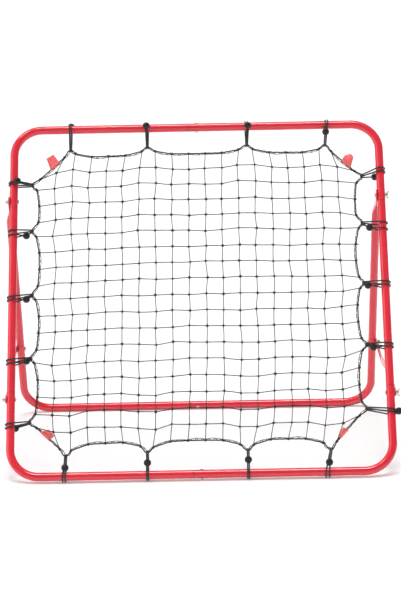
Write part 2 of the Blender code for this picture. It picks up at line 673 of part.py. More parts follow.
def settled_knots():
    """Each knot of the taut net rests at the mean of its four neighbours.

    A thread pulls harder along itself than across, so for each coordinate the two neighbours on
    the thread that runs that way count for more.
    """
    count = ROWS * COLUMNS
    settled = np.zeros((count, 2))
    for axis in (0, 1):
        pull = np.zeros((count, count))
        held = np.zeros(count)
        for row in range(ROWS):
            for column in range(COLUMNS):
                here = row * COLUMNS + column
                for step_row, step_column in ((1, 0), (-1, 0), (0, 1), (0, -1)):
                    r, c = row + step_row, column + step_column
                    weight = THREAD_PULL if (step_row if axis else step_column) else 1.0
                    pull[here, here] += weight
                    if 0 <= r < ROWS and 0 <= c < COLUMNS:
                        pull[here, r * COLUMNS + c] = -weight
                    elif r < 0 or r >= ROWS:
                        held[here] += weight * COLUMN_ENDS["bottom" if r < 0 else "top"][column][axis]
                    else:
                        held[here] += weight * ROW_ENDS["left" if c < 0 else "right"][row][axis]
        settled[:, axis] = np.linalg.solve(pull, held)
    return settled.reshape(ROWS, COLUMNS, 2)


def rope_route():
    """The rope's points in order round the net. At each tie it runs flat through the loop."""
    def along_side(side, ends, axis, falling):
        flats = []
        for node in NODES[side]:
            for end in (-1, 1):
                flats.append(node.copy())
                flats[-1][axis] += end * ROPE_FLAT / 2
        flats.sort(key=lambda point: point[axis])
        flats[0][axis] += ROPE_FLAT / 2 - CORNER_FLAT
        flats[-1][axis] -= ROPE_FLAT / 2 - CORNER_FLAT
        points = [tuple(point) for point in flats + list(ends)]
        return sorted(points, key=lambda point: point[axis], reverse=falling)

    route = along_side("top", top_ends, 0, False) + list(corners["top_right"])
    route += along_side("right", right_ends, 1, True) + corners["bottom_right"][::-1]
    route += along_side("bottom", bottom_ends, 0, True) + list(corners["bottom_left"])
    route += along_side("left", left_ends, 1, False) + corners["top_left"][::-1]
    return np.array(route)


def rope_mesh(route):
    """The rope: a six-sided cord through the route, mitred at each point."""
    before = route - np.roll(route, 1, axis=0)
    after = np.roll(route, -1, axis=0) - route
    before /= np.linalg.norm(before, axis=1)[:, None]
    after /= np.linalg.norm(after, axis=1)[:, None]
    along = before + after
    along /= np.linalg.norm(along, axis=1)[:, None]
    stretch = 1 / np.sqrt((1 + (before * after).sum(axis=1)) / 2)
    rings = []
    for point, direction, wide in zip(route, along, stretch):
        outward = Vector((direction[1], 0, -direction[0])) * float(wide)
        centre = Vector((point[0], 0, point[1]))
        rings.append(section(centre, outward, Vector((0, 1, 0)), ROPE_DIAMETER / 2, 0.0,
                             ROPE_SIDES))
    return skin(rings, closed=True)


def thread_stub(knot, end, route):
    """Where a border thread stops, clear of the rope's surface at its end."""
    nearest = int(np.argmin(np.linalg.norm(route - end, axis=1)))
    direction = end - knot
    direction /= np.linalg.norm(direction)
    surface = ROPE_DIAMETER / 2 + ROPE_GAP
    length = surface
    for neighbour in (route[nearest - 1], route[(nearest + 1) % len(route)]):
        tangent = neighbour - end
        tangent /= np.linalg.norm(tangent)
        across = abs(direction[0] * tangent[1] - direction[1] * tangent[0])
        along = -float(direction @ tangent)
        if along > 0:
            length = max(length, (surface + THREAD / 2 * along) / across)
    return end - direction * length


def net_mesh(route):
    """The net as one lattice of threads, each a square cord that stands on its edge."""
    knots = settled_knots()
    half = THREAD / 2
    bm = bmesh.new()

    def crossing(point):
        x, z = point
        cell = {(i, k): bm.verts.new((x + i * half, 0, z + k * half))
                for i in (-1, 1) for k in (-1, 1)}
        cell["front"] = bm.verts.new((x, -half, z))
        cell["back"] = bm.verts.new((x, half, z))
        return cell

    def thread(first, second, first_pair, second_pair):
        for ridge in ("front", "back"):
            for one, other in zip(first_pair, second_pair):
                bm.faces.new((first[one], second[other], second[ridge], first[ridge]))

    def stub(cell, point, end, pair, sideways):
        x, z = thread_stub(point, end, route)
        tip = {k: bm.verts.new((x + k * sideways[0] * half, 0, z + k * sideways[1] * half))
               for k in (-1, 1)}
        tip["front"] = bm.verts.new((x, -half, z))
        tip["back"] = bm.verts.new((x, half, z))
        thread(cell, tip, pair, (-1, 1))
        bm.faces.new((tip[-1], tip["front"], tip[1], tip["back"]))

    left, right = ((-1, -1), (-1, 1)), ((1, -1), (1, 1))
    low, high = ((-1, -1), (1, -1)), ((-1, 1), (1, 1))
    grid = [[crossing(knots[r, c]) for c in range(COLUMNS)] for r in range(ROWS)]
    for r in range(ROWS):
        for c in range(COLUMNS):
            if c + 1 < COLUMNS:
                thread(grid[r][c], grid[r][c + 1], right, left)
            if r + 1 < ROWS:
                thread(grid[r][c], grid[r + 1][c], high, low)
    for c in range(COLUMNS):
        stub(grid[0][c], knots[0, c], COLUMN_ENDS["bottom"][c], low, (1, 0))
        stub(grid[-1][c], knots[-1, c], COLUMN_ENDS["top"][c], high, (1, 0))
    for r in range(ROWS):
        stub(grid[r][0], knots[r, 0], ROW_ENDS["left"][r], left, (0, 1))
        stub(grid[r][-1], knots[r, -1], ROW_ENDS["right"][r], right, (0, 1))
    bmesh.ops.recalc_face_normals(bm, faces=bm.faces)
    if bm.calc_volume(signed=True) < 0:
        bmesh.ops.reverse_faces(bm, faces=bm.faces)
    mesh = bpy.data.meshes.new("net")
    bm.to_mesh(mesh)
    bm.free()
    return mesh


route = rope_route()
place("edge_rope", rope_mesh(route), ROPE, front)
place("net", net_mesh(route), TWINE, front)


def strand_path(inset, slant, spread, ball, offset):
    """One strand of a tie, as points (along, front, inward) from the tube's centre.

    It wraps the far side of the tube, with one flat facing straight down, and passes round the
    rope. Where the ball is nearest, it bends to the ball.
    """
    half = CORD / 2
    wrap = (TUBE_RADIUS + GAP + half) / math.cos(WRAP_STEP / 2)
    loop = ROPE_DIAMETER / 2 + GAP + half
    down = math.pi + FRONT_LEAN
    path = []
    for step in range(-3, 2):
        angle = down + (step + 0.5) * WRAP_STEP
        path.append(Vector((slant + offset * spread / 2, wrap * math.sin(angle),
                            wrap * math.cos(angle))))
    narrow = STRAND_SPACING / 2
    path += [Vector((offset * narrow, -loop, inset + LOOP_SHOULDER)),
             Vector((offset * narrow, 0.0, inset + LOOP_DEPTH)),
             Vector((offset * narrow, loop, inset + LOOP_SHOULDER))]
    centre = Vector((ball[1], ball[2], ball[0]))
    best = None
    for index, point in enumerate(path):
        after = path[(index + 1) % len(path)]
        run = after - point
        flat = Vector((0, centre.y - point.y, centre.z - point.z))
        share = max(0.0, min(1.0, flat.dot(run) / run.length_squared))
        near = point + share * run
        gap = (Vector((0, near.y, near.z)) - Vector((0, centre.y, centre.z))).length
        if best is None or gap < best[0]:
            best = (gap, index, near)
    _, index, near = best
    towards = Vector((0, near.y, near.z)) - centre
    bite = centre + towards * min(1.0, BALL_BITE / max(towards.length, BALL_BITE / 2))
    knot = Vector((bite.x + offset * narrow, bite.y, bite.z))
    for place_ in (index, (index + 1) % len(path)):
        beside = path[place_] - knot
        if math.hypot(beside.y, beside.z) < CORNER_MERGE:
            return path[:place_] + [knot] + path[place_ + 1:]
    return path[:index + 1] + [knot] + path[index + 1:]


def strand_mesh(path):
    """A square cord along a closed path that goes round the tube."""
    half = CORD / 2
    count = len(path)
    rings = []
    for index, point in enumerate(path):
        before = (point - path[index - 1])
        after = (path[(index + 1) % count] - point)
        before.x = 0
        after.x = 0
        before.normalize()
        after.normalize()
        along = (before + after).normalized()
        stretch = 1 / math.sqrt((1 + before.dot(after)) / 2)
        outward = Vector((0, along.z, -along.y)) * stretch
        sideways = Vector((1, 0, 0))
        rings.append([point + half * (x * sideways + y * outward)
                      for x, y in ((-1, -1), (1, -1), (1, 1), (-1, 1))])
    return skin(rings, closed=True)


def ball_tie(name, side, station, inset, slant, spread, ball):
    """An elastic loop of two strands with a ball on it."""
    turn = {"bottom": 0.0, "left": math.pi / 2, "top": math.pi, "right": -math.pi / 2}[side]
    flip = {"bottom": 1, "left": -1, "top": -1, "right": 1}[side]
    x, z = tie_node(side, station, 0.0)
    ball = (ball[0], flip * ball[1], ball[2])
    meshes = []
    for offset in (-1, 1):
        meshes.append(strand_mesh(strand_path(inset, flip * slant, spread, ball, offset)))
    strands = bmesh.new()
    for mesh in meshes:
        strands.from_mesh(mesh)
    for vert in strands.verts:
        vert.co.y = -vert.co.y
    bmesh.ops.recalc_face_normals(strands, faces=strands.faces)
    both = bpy.data.meshes.new("strands")
    strands.to_mesh(both)
    strands.free()
    bm = bmesh.new()
    bmesh.ops.create_icosphere(bm, subdivisions=2, radius=BALL_DIAMETER / 2)
    bmesh.ops.translate(bm, verts=bm.verts, vec=(ball[1], -ball[2], ball[0]))
    round_mesh = bpy.data.meshes.new("ball")
    bm.to_mesh(round_mesh)
    bm.free()
    piece = place(name, round_mesh, ELASTIC, front, (x, 0, z), (0, turn, 0))
    cords = guide(place(f"{name}_strands", both, ELASTIC, front, (x, 0, z), (0, turn, 0)))
    combine(piece, cords, "UNION")


for side, ties in TIES.items():
    for number, tie in enumerate(ties, 1):
        ball_tie(f"ball_tie_{side}_{number}", side, *tie)


def tag_mesh(corner, share, forward, outward_share):
    """A small fabric tag that stands off the middle of a corner run of the rope."""
    level, side = corner.split("_")
    first, second = corners[corner]
    run = Vector((second[0] - first[0], 0, second[1] - first[1])).normalized()
    middle = Vector((first[0], 0, first[1])).lerp(Vector((second[0], 0, second[1])), share)
    out = Vector((-1 if side == "left" else 1, 0, 1 if level == "top" else -1))
    out = (out - out.dot(run) * run).normalized()
    reach_ = (outward_share * out + forward * Vector((0, -1, 0))).normalized()
    thick = run.cross(reach_).normalized() * TAG_THICKNESS / 2
    start = ROPE_DIAMETER / 2 + GAP
    half = TAG_WIDTH / 2
    rings = []
    for distance in (start, start + TAG_LENGTH):
        centre = middle + reach_ * distance
        rings.append([centre + sign_a * half * run + sign_b * thick
                      for sign_a, sign_b in ((-1, -1), (1, -1), (1, 1), (-1, 1))])
    return skin(rings)


for corner_name, (share, forward, outward_share) in TAGS.items():
    place(f"fabric_tag_{corner_name}", tag_mesh(corner_name, share, forward, outward_share),
          WEBBING, front)
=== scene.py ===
import math

import bmesh
import bpy
import numpy as np
from mathutils import Matrix


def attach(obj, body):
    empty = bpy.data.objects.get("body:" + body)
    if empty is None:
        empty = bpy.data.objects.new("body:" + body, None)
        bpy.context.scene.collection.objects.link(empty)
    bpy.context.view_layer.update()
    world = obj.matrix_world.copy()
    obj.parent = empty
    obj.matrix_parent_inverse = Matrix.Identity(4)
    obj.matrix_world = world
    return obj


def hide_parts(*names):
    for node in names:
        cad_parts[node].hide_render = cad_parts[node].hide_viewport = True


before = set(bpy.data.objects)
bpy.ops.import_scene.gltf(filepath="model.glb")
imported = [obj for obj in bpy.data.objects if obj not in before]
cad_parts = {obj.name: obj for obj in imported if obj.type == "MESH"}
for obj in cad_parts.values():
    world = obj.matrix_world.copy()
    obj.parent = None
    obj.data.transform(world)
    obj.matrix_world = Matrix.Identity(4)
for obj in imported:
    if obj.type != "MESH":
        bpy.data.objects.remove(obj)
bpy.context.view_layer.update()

print("frame loaded:", len(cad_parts), "nodes")

# The stand's main measures, in metres and degrees. All the pieces below are placed by them.
stand = {
    "tubeRadius": 0.011,
    "wall": 0.001,
    "width": 1.000,
    "height": 1.000,
    "cornerLeg": 0.210,          # along a leg, from the bar's middle to the bolt
    "frontLean": 34.1,
    "rearLean": 23.52453,
    "tabThickness": 0.003,
    "cordRoom": 0.0041,          # the front bar stands on the cords tied round it
    "solidSides": 10,            # the rear bar stands on a flat of its ten-sided solid
}
frontLean, rearLean = math.radians(stand["frontLean"]), math.radians(stand["rearLean"])
tubeRadius, cornerLeg = stand["tubeRadius"], stand["cornerLeg"]
halfWidth = stand["width"] / 2 - tubeRadius
centreHeight = stand["height"] - 2 * tubeRadius
pivotUp = centreHeight - cornerLeg
frontBarHeight = tubeRadius + stand["cordRoom"]
pivotHeight = frontBarHeight + pivotUp * math.cos(frontLean)
rearLeg = ((pivotHeight - tubeRadius * math.cos(math.pi / stand["solidSides"]))
           / math.cos(rearLean))
rearBoltDrop = rearLeg - cornerLeg
pivotBack = pivotUp * math.sin(frontLean)
frontBarY = -(pivotBack + rearLeg * math.sin(rearLean) + tubeRadius - frontBarHeight) / 2
sideShift = (tubeRadius + stand["tabThickness"] / 2) / 2
frontOrigin = np.array((sideShift, frontBarY, frontBarHeight))
rearOrigin = np.array((-sideShift, frontBarY + pivotBack, pivotHeight))
sides = (("left", -1), ("right", 1))
through = np.array((0.0, 1.0, 0.0))  # square to a frame's plane
shift = np.random.default_rng(41)


# Frame coordinates (across, towards the back, up in the frame's plane) to the room: a turn
# about X by the lean, then the frame's own place.
def leaned(points, lean, origin):
    x, y, z = np.moveaxis(np.asarray(points, float), -1, 0)
    return origin + np.stack([x, y * math.cos(lean) - z * math.sin(lean),
                              y * math.sin(lean) + z * math.cos(lean)], axis=-1)


def inFront(points):
    return leaned(points, -frontLean, frontOrigin)


def inRear(points):
    return leaned(points, rearLean, rearOrigin)


# A grid of rows and columns of points (or a batch of such grids) with what the mesh needs: the
# closed directions, texture lengths in metres (girth round a row, run down the rows), a finish
# number and a wear value for each row.
def patch(points, girth, run=None, closedRows=False, closedColumns=True, finish=0, wear=0.0):
    points = points if points.ndim == 4 else points[None]
    batch, rows, columns = points.shape[:3]
    u = np.linspace(0.0, girth, columns + 1)
    run = np.arange(rows) / rows if run is None else run
    v = np.append(run, 2 * run[-1] - run[-2])
    i, j = np.indices((rows - (not closedRows), columns - (not closedColumns))).reshape(2, -1)
    corners = ((i, j), (i, j + 1), (i + 1, j + 1), (i + 1, j))
    faces = np.stack([(a % rows) * columns + b % columns for a, b in corners], axis=1)
    uvs = np.stack([np.stack([u[b], v[a]], axis=1) for a, b in corners], axis=1)
    faces = faces + (np.arange(batch) * rows * columns)[:, None, None]
    wears = np.broadcast_to(np.reshape(wear, (-1, 1)), points.shape[:3])
    return {"points": points.reshape(-1, 3), "faces": faces.reshape(-1, 4),
            "uvs": np.tile(uvs.ravel(), batch), "wear": wears.ravel(),
            "finish": np.full(faces.size // 4, finish)}


# One named piece from its patches. Doubled points at seams and poles are merged, and the faces
# are turned outwards.
def makePiece(name, patches, finishes, body, node, sharpAngle=40):
    starts = np.cumsum([0] + [len(p["points"]) for p in patches[:-1]])
    joined = {key: np.concatenate([p[key] for p in patches])
              for key in ("points", "uvs", "wear", "finish")}
    faces = np.concatenate([p["faces"] + start for p, start in zip(patches, starts)])
    mesh = bpy.data.meshes.new(name)
    mesh.from_pydata(joined["points"].tolist(), [], faces.tolist())
    mesh.uv_layers.new(name="lengths").data.foreach_set("uv", joined["uvs"])
    mesh.polygons.foreach_set("material_index", joined["finish"].astype(np.int32))
    mesh.attributes.new("wear", "FLOAT", "POINT").data.foreach_set("value", joined["wear"])
    solid = bmesh.new()
    solid.from_mesh(mesh)
    bmesh.ops.remove_doubles(solid, verts=solid.verts, dist=1e-6)
    bmesh.ops.recalc_face_normals(solid, faces=solid.faces)
    solid.to_mesh(mesh)
    solid.free()
    mesh.shade_smooth()
    mesh.set_sharp_from_angle(angle=math.radians(sharpAngle))
    for finish in finishes:
        mesh.materials.append(finish)
    piece = bpy.data.objects.new(name, mesh)
    bpy.context.scene.collection.objects.link(piece)
    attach(piece, body)
    if node:
        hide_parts(node)
    return piece


def unit(vector):
    return vector / np.linalg.norm(vector)


# Angles evenly spaced round a circle.
def roundAngles(count):
    return np.arange(count) * 2 * math.pi / count


# 3 s^2 - 2 s^3: a share from 0 to 1 with soft ends.
def eased(share):
    share = np.clip(share, 0, 1)
    return share * share * (3 - 2 * share)


# Direction along a path, and two directions across it: the guide made square to the path, and
# the one square to both. Works on whole batches of paths.
def carried(path, guide, closed=False):
    if closed:
        along = np.roll(path, -1, axis=-2) - np.roll(path, 1, axis=-2)
    else:
        along = np.gradient(path, axis=-2)
    along = along / np.linalg.norm(along, axis=-1, keepdims=True)
    first = guide - (guide * along).sum(-1, keepdims=True) * along
    first = first / np.linalg.norm(first, axis=-1, keepdims=True)
    return along, first, np.cross(along, first)


# A round cord: at each path point a circle of the radius there, point + r (cos t a + sin t b).
def roundCord(path, radius, guide, count, closed=False):
    _, first, second = carried(path, guide, closed)
    angle = roundAngles(count)[:, None]
    radius = np.broadcast_to(radius, path.shape[:-1])[..., None, None]
    return (path[..., None, :] + radius * (np.cos(angle) * first[..., None, :]
                                           + np.sin(angle) * second[..., None, :]))


# A curve through all its control points (Catmull-Rom, with a straight run-out past either end):
# between two of them the cubic whose slope at each is half the step from the point before to the
# point after.
def throughPoints(points, samples):
    points = np.asarray(points, float)
    padded = np.concatenate([2 * points[:1] - points[1:2], points,
                             2 * points[-1:] - points[-2:-1]])[:, None]
    p0, p1, p2, p3 = padded[:-3], padded[1:-2], padded[2:-1], padded[3:]
    t = (np.arange(samples) / samples)[None, :, None]
    curve = 0.5 * (2 * p1 + (p2 - p0) * t + (2 * p0 - 5 * p1 + 4 * p2 - p3) * t ** 2
                   + (3 * p1 - p0 - 3 * p2 + p3) * t ** 3)
    return np.concatenate([curve.reshape(-1, 3), points[-1:]])


# A line of straight runs with its points a fixed distance apart.
def evenly(curve, step, closed=True):
    line = np.concatenate([curve, curve[:1]]) if closed else curve
    far = np.append(0.0, np.cumsum(np.linalg.norm(np.diff(line, axis=0), axis=1)))
    count = max(4, round(far[-1] / step))
    at = np.linspace(0.0, far[-1], count + (not closed), endpoint=not closed)
    return np.stack([np.interp(at, far, column) for column in line.T], axis=1)


# Rounds the bends of a closed line: each pass puts a point at half itself and a quarter of either
# neighbour.
def softened(line, passes):
    for _ in range(passes):
        line = 0.5 * line + 0.25 * (np.roll(line, 1, axis=0) + np.roll(line, -1, axis=0))
    return line


# A lathe shape about Z: each row is a circle of radius r at height z. The radius may change with
# the angle as well.
def lathe(radius, height, angle):
    radius = np.reshape(radius, (len(height), -1))
    return np.stack([radius * np.cos(angle), radius * np.sin(angle),
                     np.broadcast_to(np.asarray(height)[:, None], (len(height), len(angle)))],
                    axis=-1)


# Finishes

def linearColour(hexText):
    part = np.array([int(hexText[k:k + 2], 16) for k in (1, 3, 5)]) / 255
    line = np.where(part <= 0.04045, part / 12.92, ((part + 0.055) / 1.055) ** 2.4)
    return (*line.tolist(), 1.0)


# Inputs are values, sockets to link from, or a node for its first live socket.
def feed(tree, node, inputs):
    for key, value in inputs.items():
        if isinstance(value, bpy.types.Node):
            value = next(socket for socket in value.outputs if socket.enabled)
        if isinstance(value, bpy.types.NodeSocket):
            tree.links.new(value, node.inputs[key])
        else:
            node.inputs[key].default_value = value


def addNode(tree, kind, inputs, **settings):
    node = tree.nodes.new("ShaderNode" + kind)
    for key, value in settings.items():
        setattr(node, key, value)
    feed(tree, node, inputs)
    return node


def newFinish(name):
    made = bpy.data.materials.new(name)
    made.use_nodes = True
    tree = made.node_tree
    tree.nodes.clear()
    shader = addNode(tree, "BsdfPrincipled", {})
    addNode(tree, "OutputMaterial", {0: shader})
    return made, tree, shader


# Powder coat, zinc and plastic from one dictionary each. A noise starts with its waves for each
# metre, one over a size, and its detail. The mottle mixes the two colours between its two levels,
# the haze moves the roughness by its two spreads, and the grain is the bump with its strength and
# depth. A worn colour shows through a fine scuff wherever the mesh has wear.
def solidFinish(look):
    made, tree, shader = newFinish(look["name"])
    where = addNode(tree, "TexCoord", {}).outputs["Object"]
    mottle, haze, grain = (
        addNode(tree, "TexNoise", {"Vector": where, "Scale": look[key][0], "Detail": look[key][1]})
        for key in ("mottle", "haze", "grain"))
    share = addNode(tree, "MapRange", {"Value": mottle, "From Min": look["mottle"][2],
                                       "From Max": look["mottle"][3]})
    colour = addNode(tree, "Mix", {0: share, 6: linearColour(look["colour"]),
                                   7: linearColour(look["second"])}, data_type="RGBA")
    if "worn" in look:
        scuff = addNode(tree, "TexNoise", {"Vector": where, "Scale": look["scuff"][0],
                                           "Detail": look["scuff"][1]})
        wear = addNode(tree, "Attribute", {}, attribute_name="wear").outputs["Fac"]
        rub = addNode(tree, "Math", {0: wear, 1: scuff}, operation="MULTIPLY", use_clamp=True)
        colour = addNode(tree, "Mix", {0: rub, 6: colour, 7: linearColour(look["worn"])},
                         data_type="RGBA")
    gloss = addNode(tree, "MapRange", {
        "Value": haze, "From Min": 0.3, "From Max": 0.7,
        "To Min": look["roughness"] - look["haze"][2],
        "To Max": look["roughness"] + look["haze"][3]})
    bump = addNode(tree, "Bump", {"Height": grain, "Strength": look["grain"][2],
                                  "Distance": look["grain"][3]})
    feed(tree, shader, {"Base Color": colour, "Roughness": gloss, "Normal": bump,
                        **look["shader"]})
    if "Coat Weight" in look["shader"]:
        feed(tree, shader, {"Coat Normal": bump})
    return made


# Polyester powder coat baked on steel tube: a full even colour, a soft gloss, the slight waviness
# of orange peel in the highlights, and a thin rubbed line where tubes meet.
redPowderCoat = solidFinish({
    "name": "glossy red powder coat",
    "colour": "#F13143",
    "second": "#E92C3F",
    "worn": "#7A2A2E",
    "mottle": (1 / 0.160, 3.0, 0.35, 0.65),
    "scuff": (900.0, 4.0),
    "haze": (14.0, 3.0, 0.03, 0.04),
    "grain": (1 / 0.0022, 1.5, 0.04, 0.0002),  # orange peel in waves of 2.2 mm
    "roughness": 0.16,
    "shader": {"Coat Weight": 0.6, "Coat Roughness": 0.05, "Coat IOR": 1.50},
})
# Bright zinc electroplate on steel fasteners: light grey metal with a faint yellow cast in
# patches, and fine tumbling marks that break the shine.
zinc = solidFinish({
    "name": "bright zinc plate",
    "colour": "#D6D8D2",
    "second": "#D8D8C6",
    "mottle": (160.0, 3.0, 0.42, 0.62),
    "haze": (1 / 0.0011, 6.0, 0.08, 0.10),
    "grain": (1 / 0.0011, 6.0, 0.15, 0.0002),  # marks of 1.1 mm
    "roughness": 0.42,
    "shader": {"Metallic": 1.0},
})
# Moulded polypropylene balls: black, half matt from the mould's fine texture, slightly scuffed.
ballBlack = solidFinish({
    "name": "moulded black polypropylene",
    "colour": "#17191A",
    "second": "#2A2D2E",
    "mottle": (190.0, 4.0, 0.48, 0.75),
    "haze": (190.0, 4.0, 0.06, 0.12),
    "grain": (1 / 0.0009, 2.0, 0.2, 0.0001),  # the mould's texture, 0.9 mm
    "roughness": 0.42,
    "shader": {"IOR": 1.49},
})

waveUnit = 0.314                 # a wave texture repeats once in a length of waveUnit / its scale


# Twisted or braided cord, drawn with the piece's own lengths: slanted bands across the cord for the
# yarns, raised in the bump and lighter on their crowns, with painted shade darkening the valleys
# between them, fine fibres and a slight change of tone along it.
def cordFinish(name, light, dark, yarnStep, slant, roughness, relief, sheen):
    made, tree, shader = newFinish(name)
    where = addNode(tree, "TexCoord", {}).outputs["Object"]
    lengths = addNode(tree, "UVMap", {}, uv_map="lengths")
    laid = addNode(tree, "Mapping", {"Vector": lengths, "Rotation": (0, 0, slant)})
    yarns = addNode(tree, "TexWave", {"Vector": laid, "Scale": waveUnit / yarnStep,
                                      "Distortion": 0.4, "Detail": 1.0, "Detail Scale": 2.0},
                    wave_profile="SIN", bands_direction="Y").outputs["Fac"]
    fibres = addNode(tree, "TexNoise", {"Vector": where, "Scale": 2600.0, "Detail": 3.0})
    fade = addNode(tree, "TexNoise", {"Vector": where, "Scale": 22.0, "Detail": 2.0})
    # The yarn bands go into the colour as well as the bump: the valleys between yarns get the dark
    # colour as painted shade, while the fibres and the slow fade are the cord's own tone.
    toneAndGrooveShade = addNode(tree, "Math", {0: fibres, 1: 0.5, 2: yarns}, operation="MULTIPLY_ADD",
                   use_clamp=True)
    tonedWithGrooveShade = addNode(tree, "Math", {0: toneAndGrooveShade, 1: fade}, operation="MULTIPLY", use_clamp=True)
    colour = addNode(tree, "Mix", {0: tonedWithGrooveShade, 6: linearColour(dark), 7: linearColour(light)},
                     data_type="RGBA")
    height = addNode(tree, "Math", {0: fibres, 1: 0.3, 2: yarns}, operation="MULTIPLY_ADD")
    bump = addNode(tree, "Bump", {"Height": height, "Strength": 0.6, "Distance": relief})
    feed(tree, shader, {"Base Color": colour, "Normal": bump, "Roughness": roughness,
                        "Sheen Weight": sheen, "Sheen Roughness": 0.5})
    return made


# Twisted polyethylene netting twine, two dull black yarns: the eye gets a thin matt line with a
# barber's-pole break in it, painted in as darker shade in the grooves of the twist. The yarns are
# drawn at their real 1.6 mm.
netTwine = cordFinish("twisted polyethylene twine", "#3A3D3E", "#161819", 0.0016, 0.7, 0.62,
                      0.0002, 0.15)
# Laid polypropylene rope: black, with the fibres of each strand showing as fine slanted lines,
# lighter on top and darkened by painted shade in the grooves between them.
laidRope = cordFinish("laid polypropylene rope", "#2A2D2E", "#0D0F10", 0.0009, 0.5, 0.72,
                      0.0002, 0.20)
# Elastic cord in a braided polyester sheath: black with grey flecks, a soft low shine, and the
# braid's valleys darkened as painted shade.
elasticSheath = cordFinish("braided elastic cord", "#303334", "#111314", 0.0011, 0.9, 0.55,
                           0.00015, 0.25)
# Bonded polyester sewing thread in the webbing's colour, a little lighter and shinier, with painted
# shade in the grooves of its twist.
sewingThread = cordFinish("coral sewing thread", "#FF8A84", "#D65552", 0.0004, 0.6, 0.45,
                          0.00008, 0.10)

# Woven polyester webbing, dyed coral: a plain weave of 0.9 mm threads, matt, with a soft bloom at
# grazing angles. The weave is drawn on the tag's own lengths, and the hollows between its threads
# take the darker shade colour as painted shade.
webbing = {
    "coral": "#FF7775",
    # painted shade colour for the hollows between the weave's threads
    "shade": "#F0605F",
    "thread": 0.0009,
    "roughness": 0.78,
}


def webbingFinish():
    made, tree, shader = newFinish("woven coral webbing")
    where = addNode(tree, "TexCoord", {}).outputs["Object"]
    lengths = addNode(tree, "UVMap", {}, uv_map="lengths")
    across, along = (addNode(tree, "TexWave", {"Vector": lengths, "Distortion": 0.3,
                                               "Scale": waveUnit / webbing["thread"]},
                             bands_direction=way).outputs["Fac"] for way in ("X", "Y"))
    weave = addNode(tree, "Math", {0: across, 1: along}, operation="MAXIMUM")
    faded = addNode(tree, "TexNoise", {"Vector": where, "Scale": 120.0, "Detail": 4.0})
    # The weave's height also sets the colour: its hollows take the shade colour as painted shade,
    # and the noise fades it at random.
    toneAndGrooveShade = addNode(tree, "Math", {0: weave, 1: faded}, operation="MULTIPLY", use_clamp=True)
    shadeToCoralShare = addNode(tree, "MapRange", {"Value": toneAndGrooveShade, "From Min": 0.1, "From Max": 0.6})
    colour = addNode(tree, "Mix", {0: shadeToCoralShare, 6: linearColour(webbing["shade"]),
                                   7: linearColour(webbing["coral"])}, data_type="RGBA")
    bump = addNode(tree, "Bump", {"Height": weave, "Strength": 0.5, "Distance": 0.0002})
    feed(tree, shader, {"Base Color": colour, "Normal": bump, "Roughness": webbing["roughness"],
                        "Sheen Weight": 0.2, "Sheen Roughness": 0.4})
    return made


coralWebbing = webbingFinish()
print("finishes made")

# Camera, at the photograph's angle. The angles are in radians.
view = {
    "place": (0.05009, -6.18656, 1.73180),
    "pitch": 0.213559,
    "yaw": -0.006541,
    "roll": -0.020877,
    "focalPixels": 2384.75,      # for a frame 601 pixels high
    "framePixels": 601,
    "sensor": 36.0,
}


def makeCamera():
    pitch, yaw, roll = view["pitch"], view["yaw"], view["roll"]
    forward = np.array((math.sin(yaw) * math.cos(pitch), math.cos(yaw) * math.cos(pitch),
                        -math.sin(pitch)))
    right = np.array((math.cos(yaw), -math.sin(yaw), 0.0))
    up = np.cross(right, forward)
    data = bpy.data.cameras.new("camera")
    data.sensor_fit = "AUTO"
    data.sensor_width = view["sensor"]
    data.lens = view["focalPixels"] / view["framePixels"] * view["sensor"]
    data.clip_end = 200.0
    camera = bpy.data.objects.new("camera", data)
    bpy.context.scene.collection.objects.link(camera)
    turn = np.eye(4)
    turn[:3] = np.stack([math.cos(roll) * right + math.sin(roll) * up,
                         -math.sin(roll) * right + math.cos(roll) * up, -forward,
                         np.array(view["place"])], axis=1)
    camera.matrix_world = Matrix(turn.tolist())
    bpy.context.scene.camera = camera


makeCamera()

# Tubes
tubes = {
    "facets": 56,
    "bendRadius": 0.075,
    "bendSteps": 26,
    "legSeam": 0.018,            # how far past the bolt the seam lies
    "barSeam": 0.021,
    "seamGap": 0.0003,
    "neck": 0.040,
    "neckRadius": 0.0096,
    "rim": 0.00035,
    "boreDepth": 0.046,
}
bore = tubeRadius - stand["wall"]
tubeGirth = 2 * math.pi * tubeRadius
rim = tubes["rim"]

# Rows (distance along the tube, radius, wear) of one open end at distance 0: a blind bore, the
# rounded rim of the wall, and the outside with a few rows that keep the shading straight.
openEnd = [(tubes["boreDepth"], 0.0, 0), (tubes["boreDepth"], bore, 0), (rim, bore, 0.3),
           (0.3 * rim, bore + 0.3 * rim, 0.8), (0, bore + 0.0004, 1), (0, tubeRadius - rim, 1),
           (0.3 * rim, tubeRadius - 0.3 * rim, 1), (rim, tubeRadius, 0.8),
           (0.0012, tubeRadius, 0.25), (0.004, tubeRadius, 0)]
# Rows of a drawn-in end: the shoulder at distance 0 and the neck that slides into the next tube.
neck, narrow = tubes["neck"], tubes["neckRadius"]
neckEnd = [(-neck, 0.0, 0), (-neck, narrow - 0.0006, 0), (0.0006 - neck, narrow, 0),
           (-0.0004, narrow, 0.4), (0, narrow + 0.0004, 0.8), (0, tubeRadius - 2 * rim, 1),
           (0.4 * rim, tubeRadius - 0.5 * rim, 1), (1.4 * rim, tubeRadius, 0.7),
           (0.0015, tubeRadius, 0.2), (0.004, tubeRadius, 0)]


# The rows of a whole tube: one end, plain rows between, and the other end turned round.
def tubeRows(startEnd, between, length, finalEnd):
    rows = startEnd + [(d, tubeRadius, 0) for d in between]
    rows += [(length - d, r, w) for d, r, w in reversed(finalEnd)]
    return np.array(rows, float).T


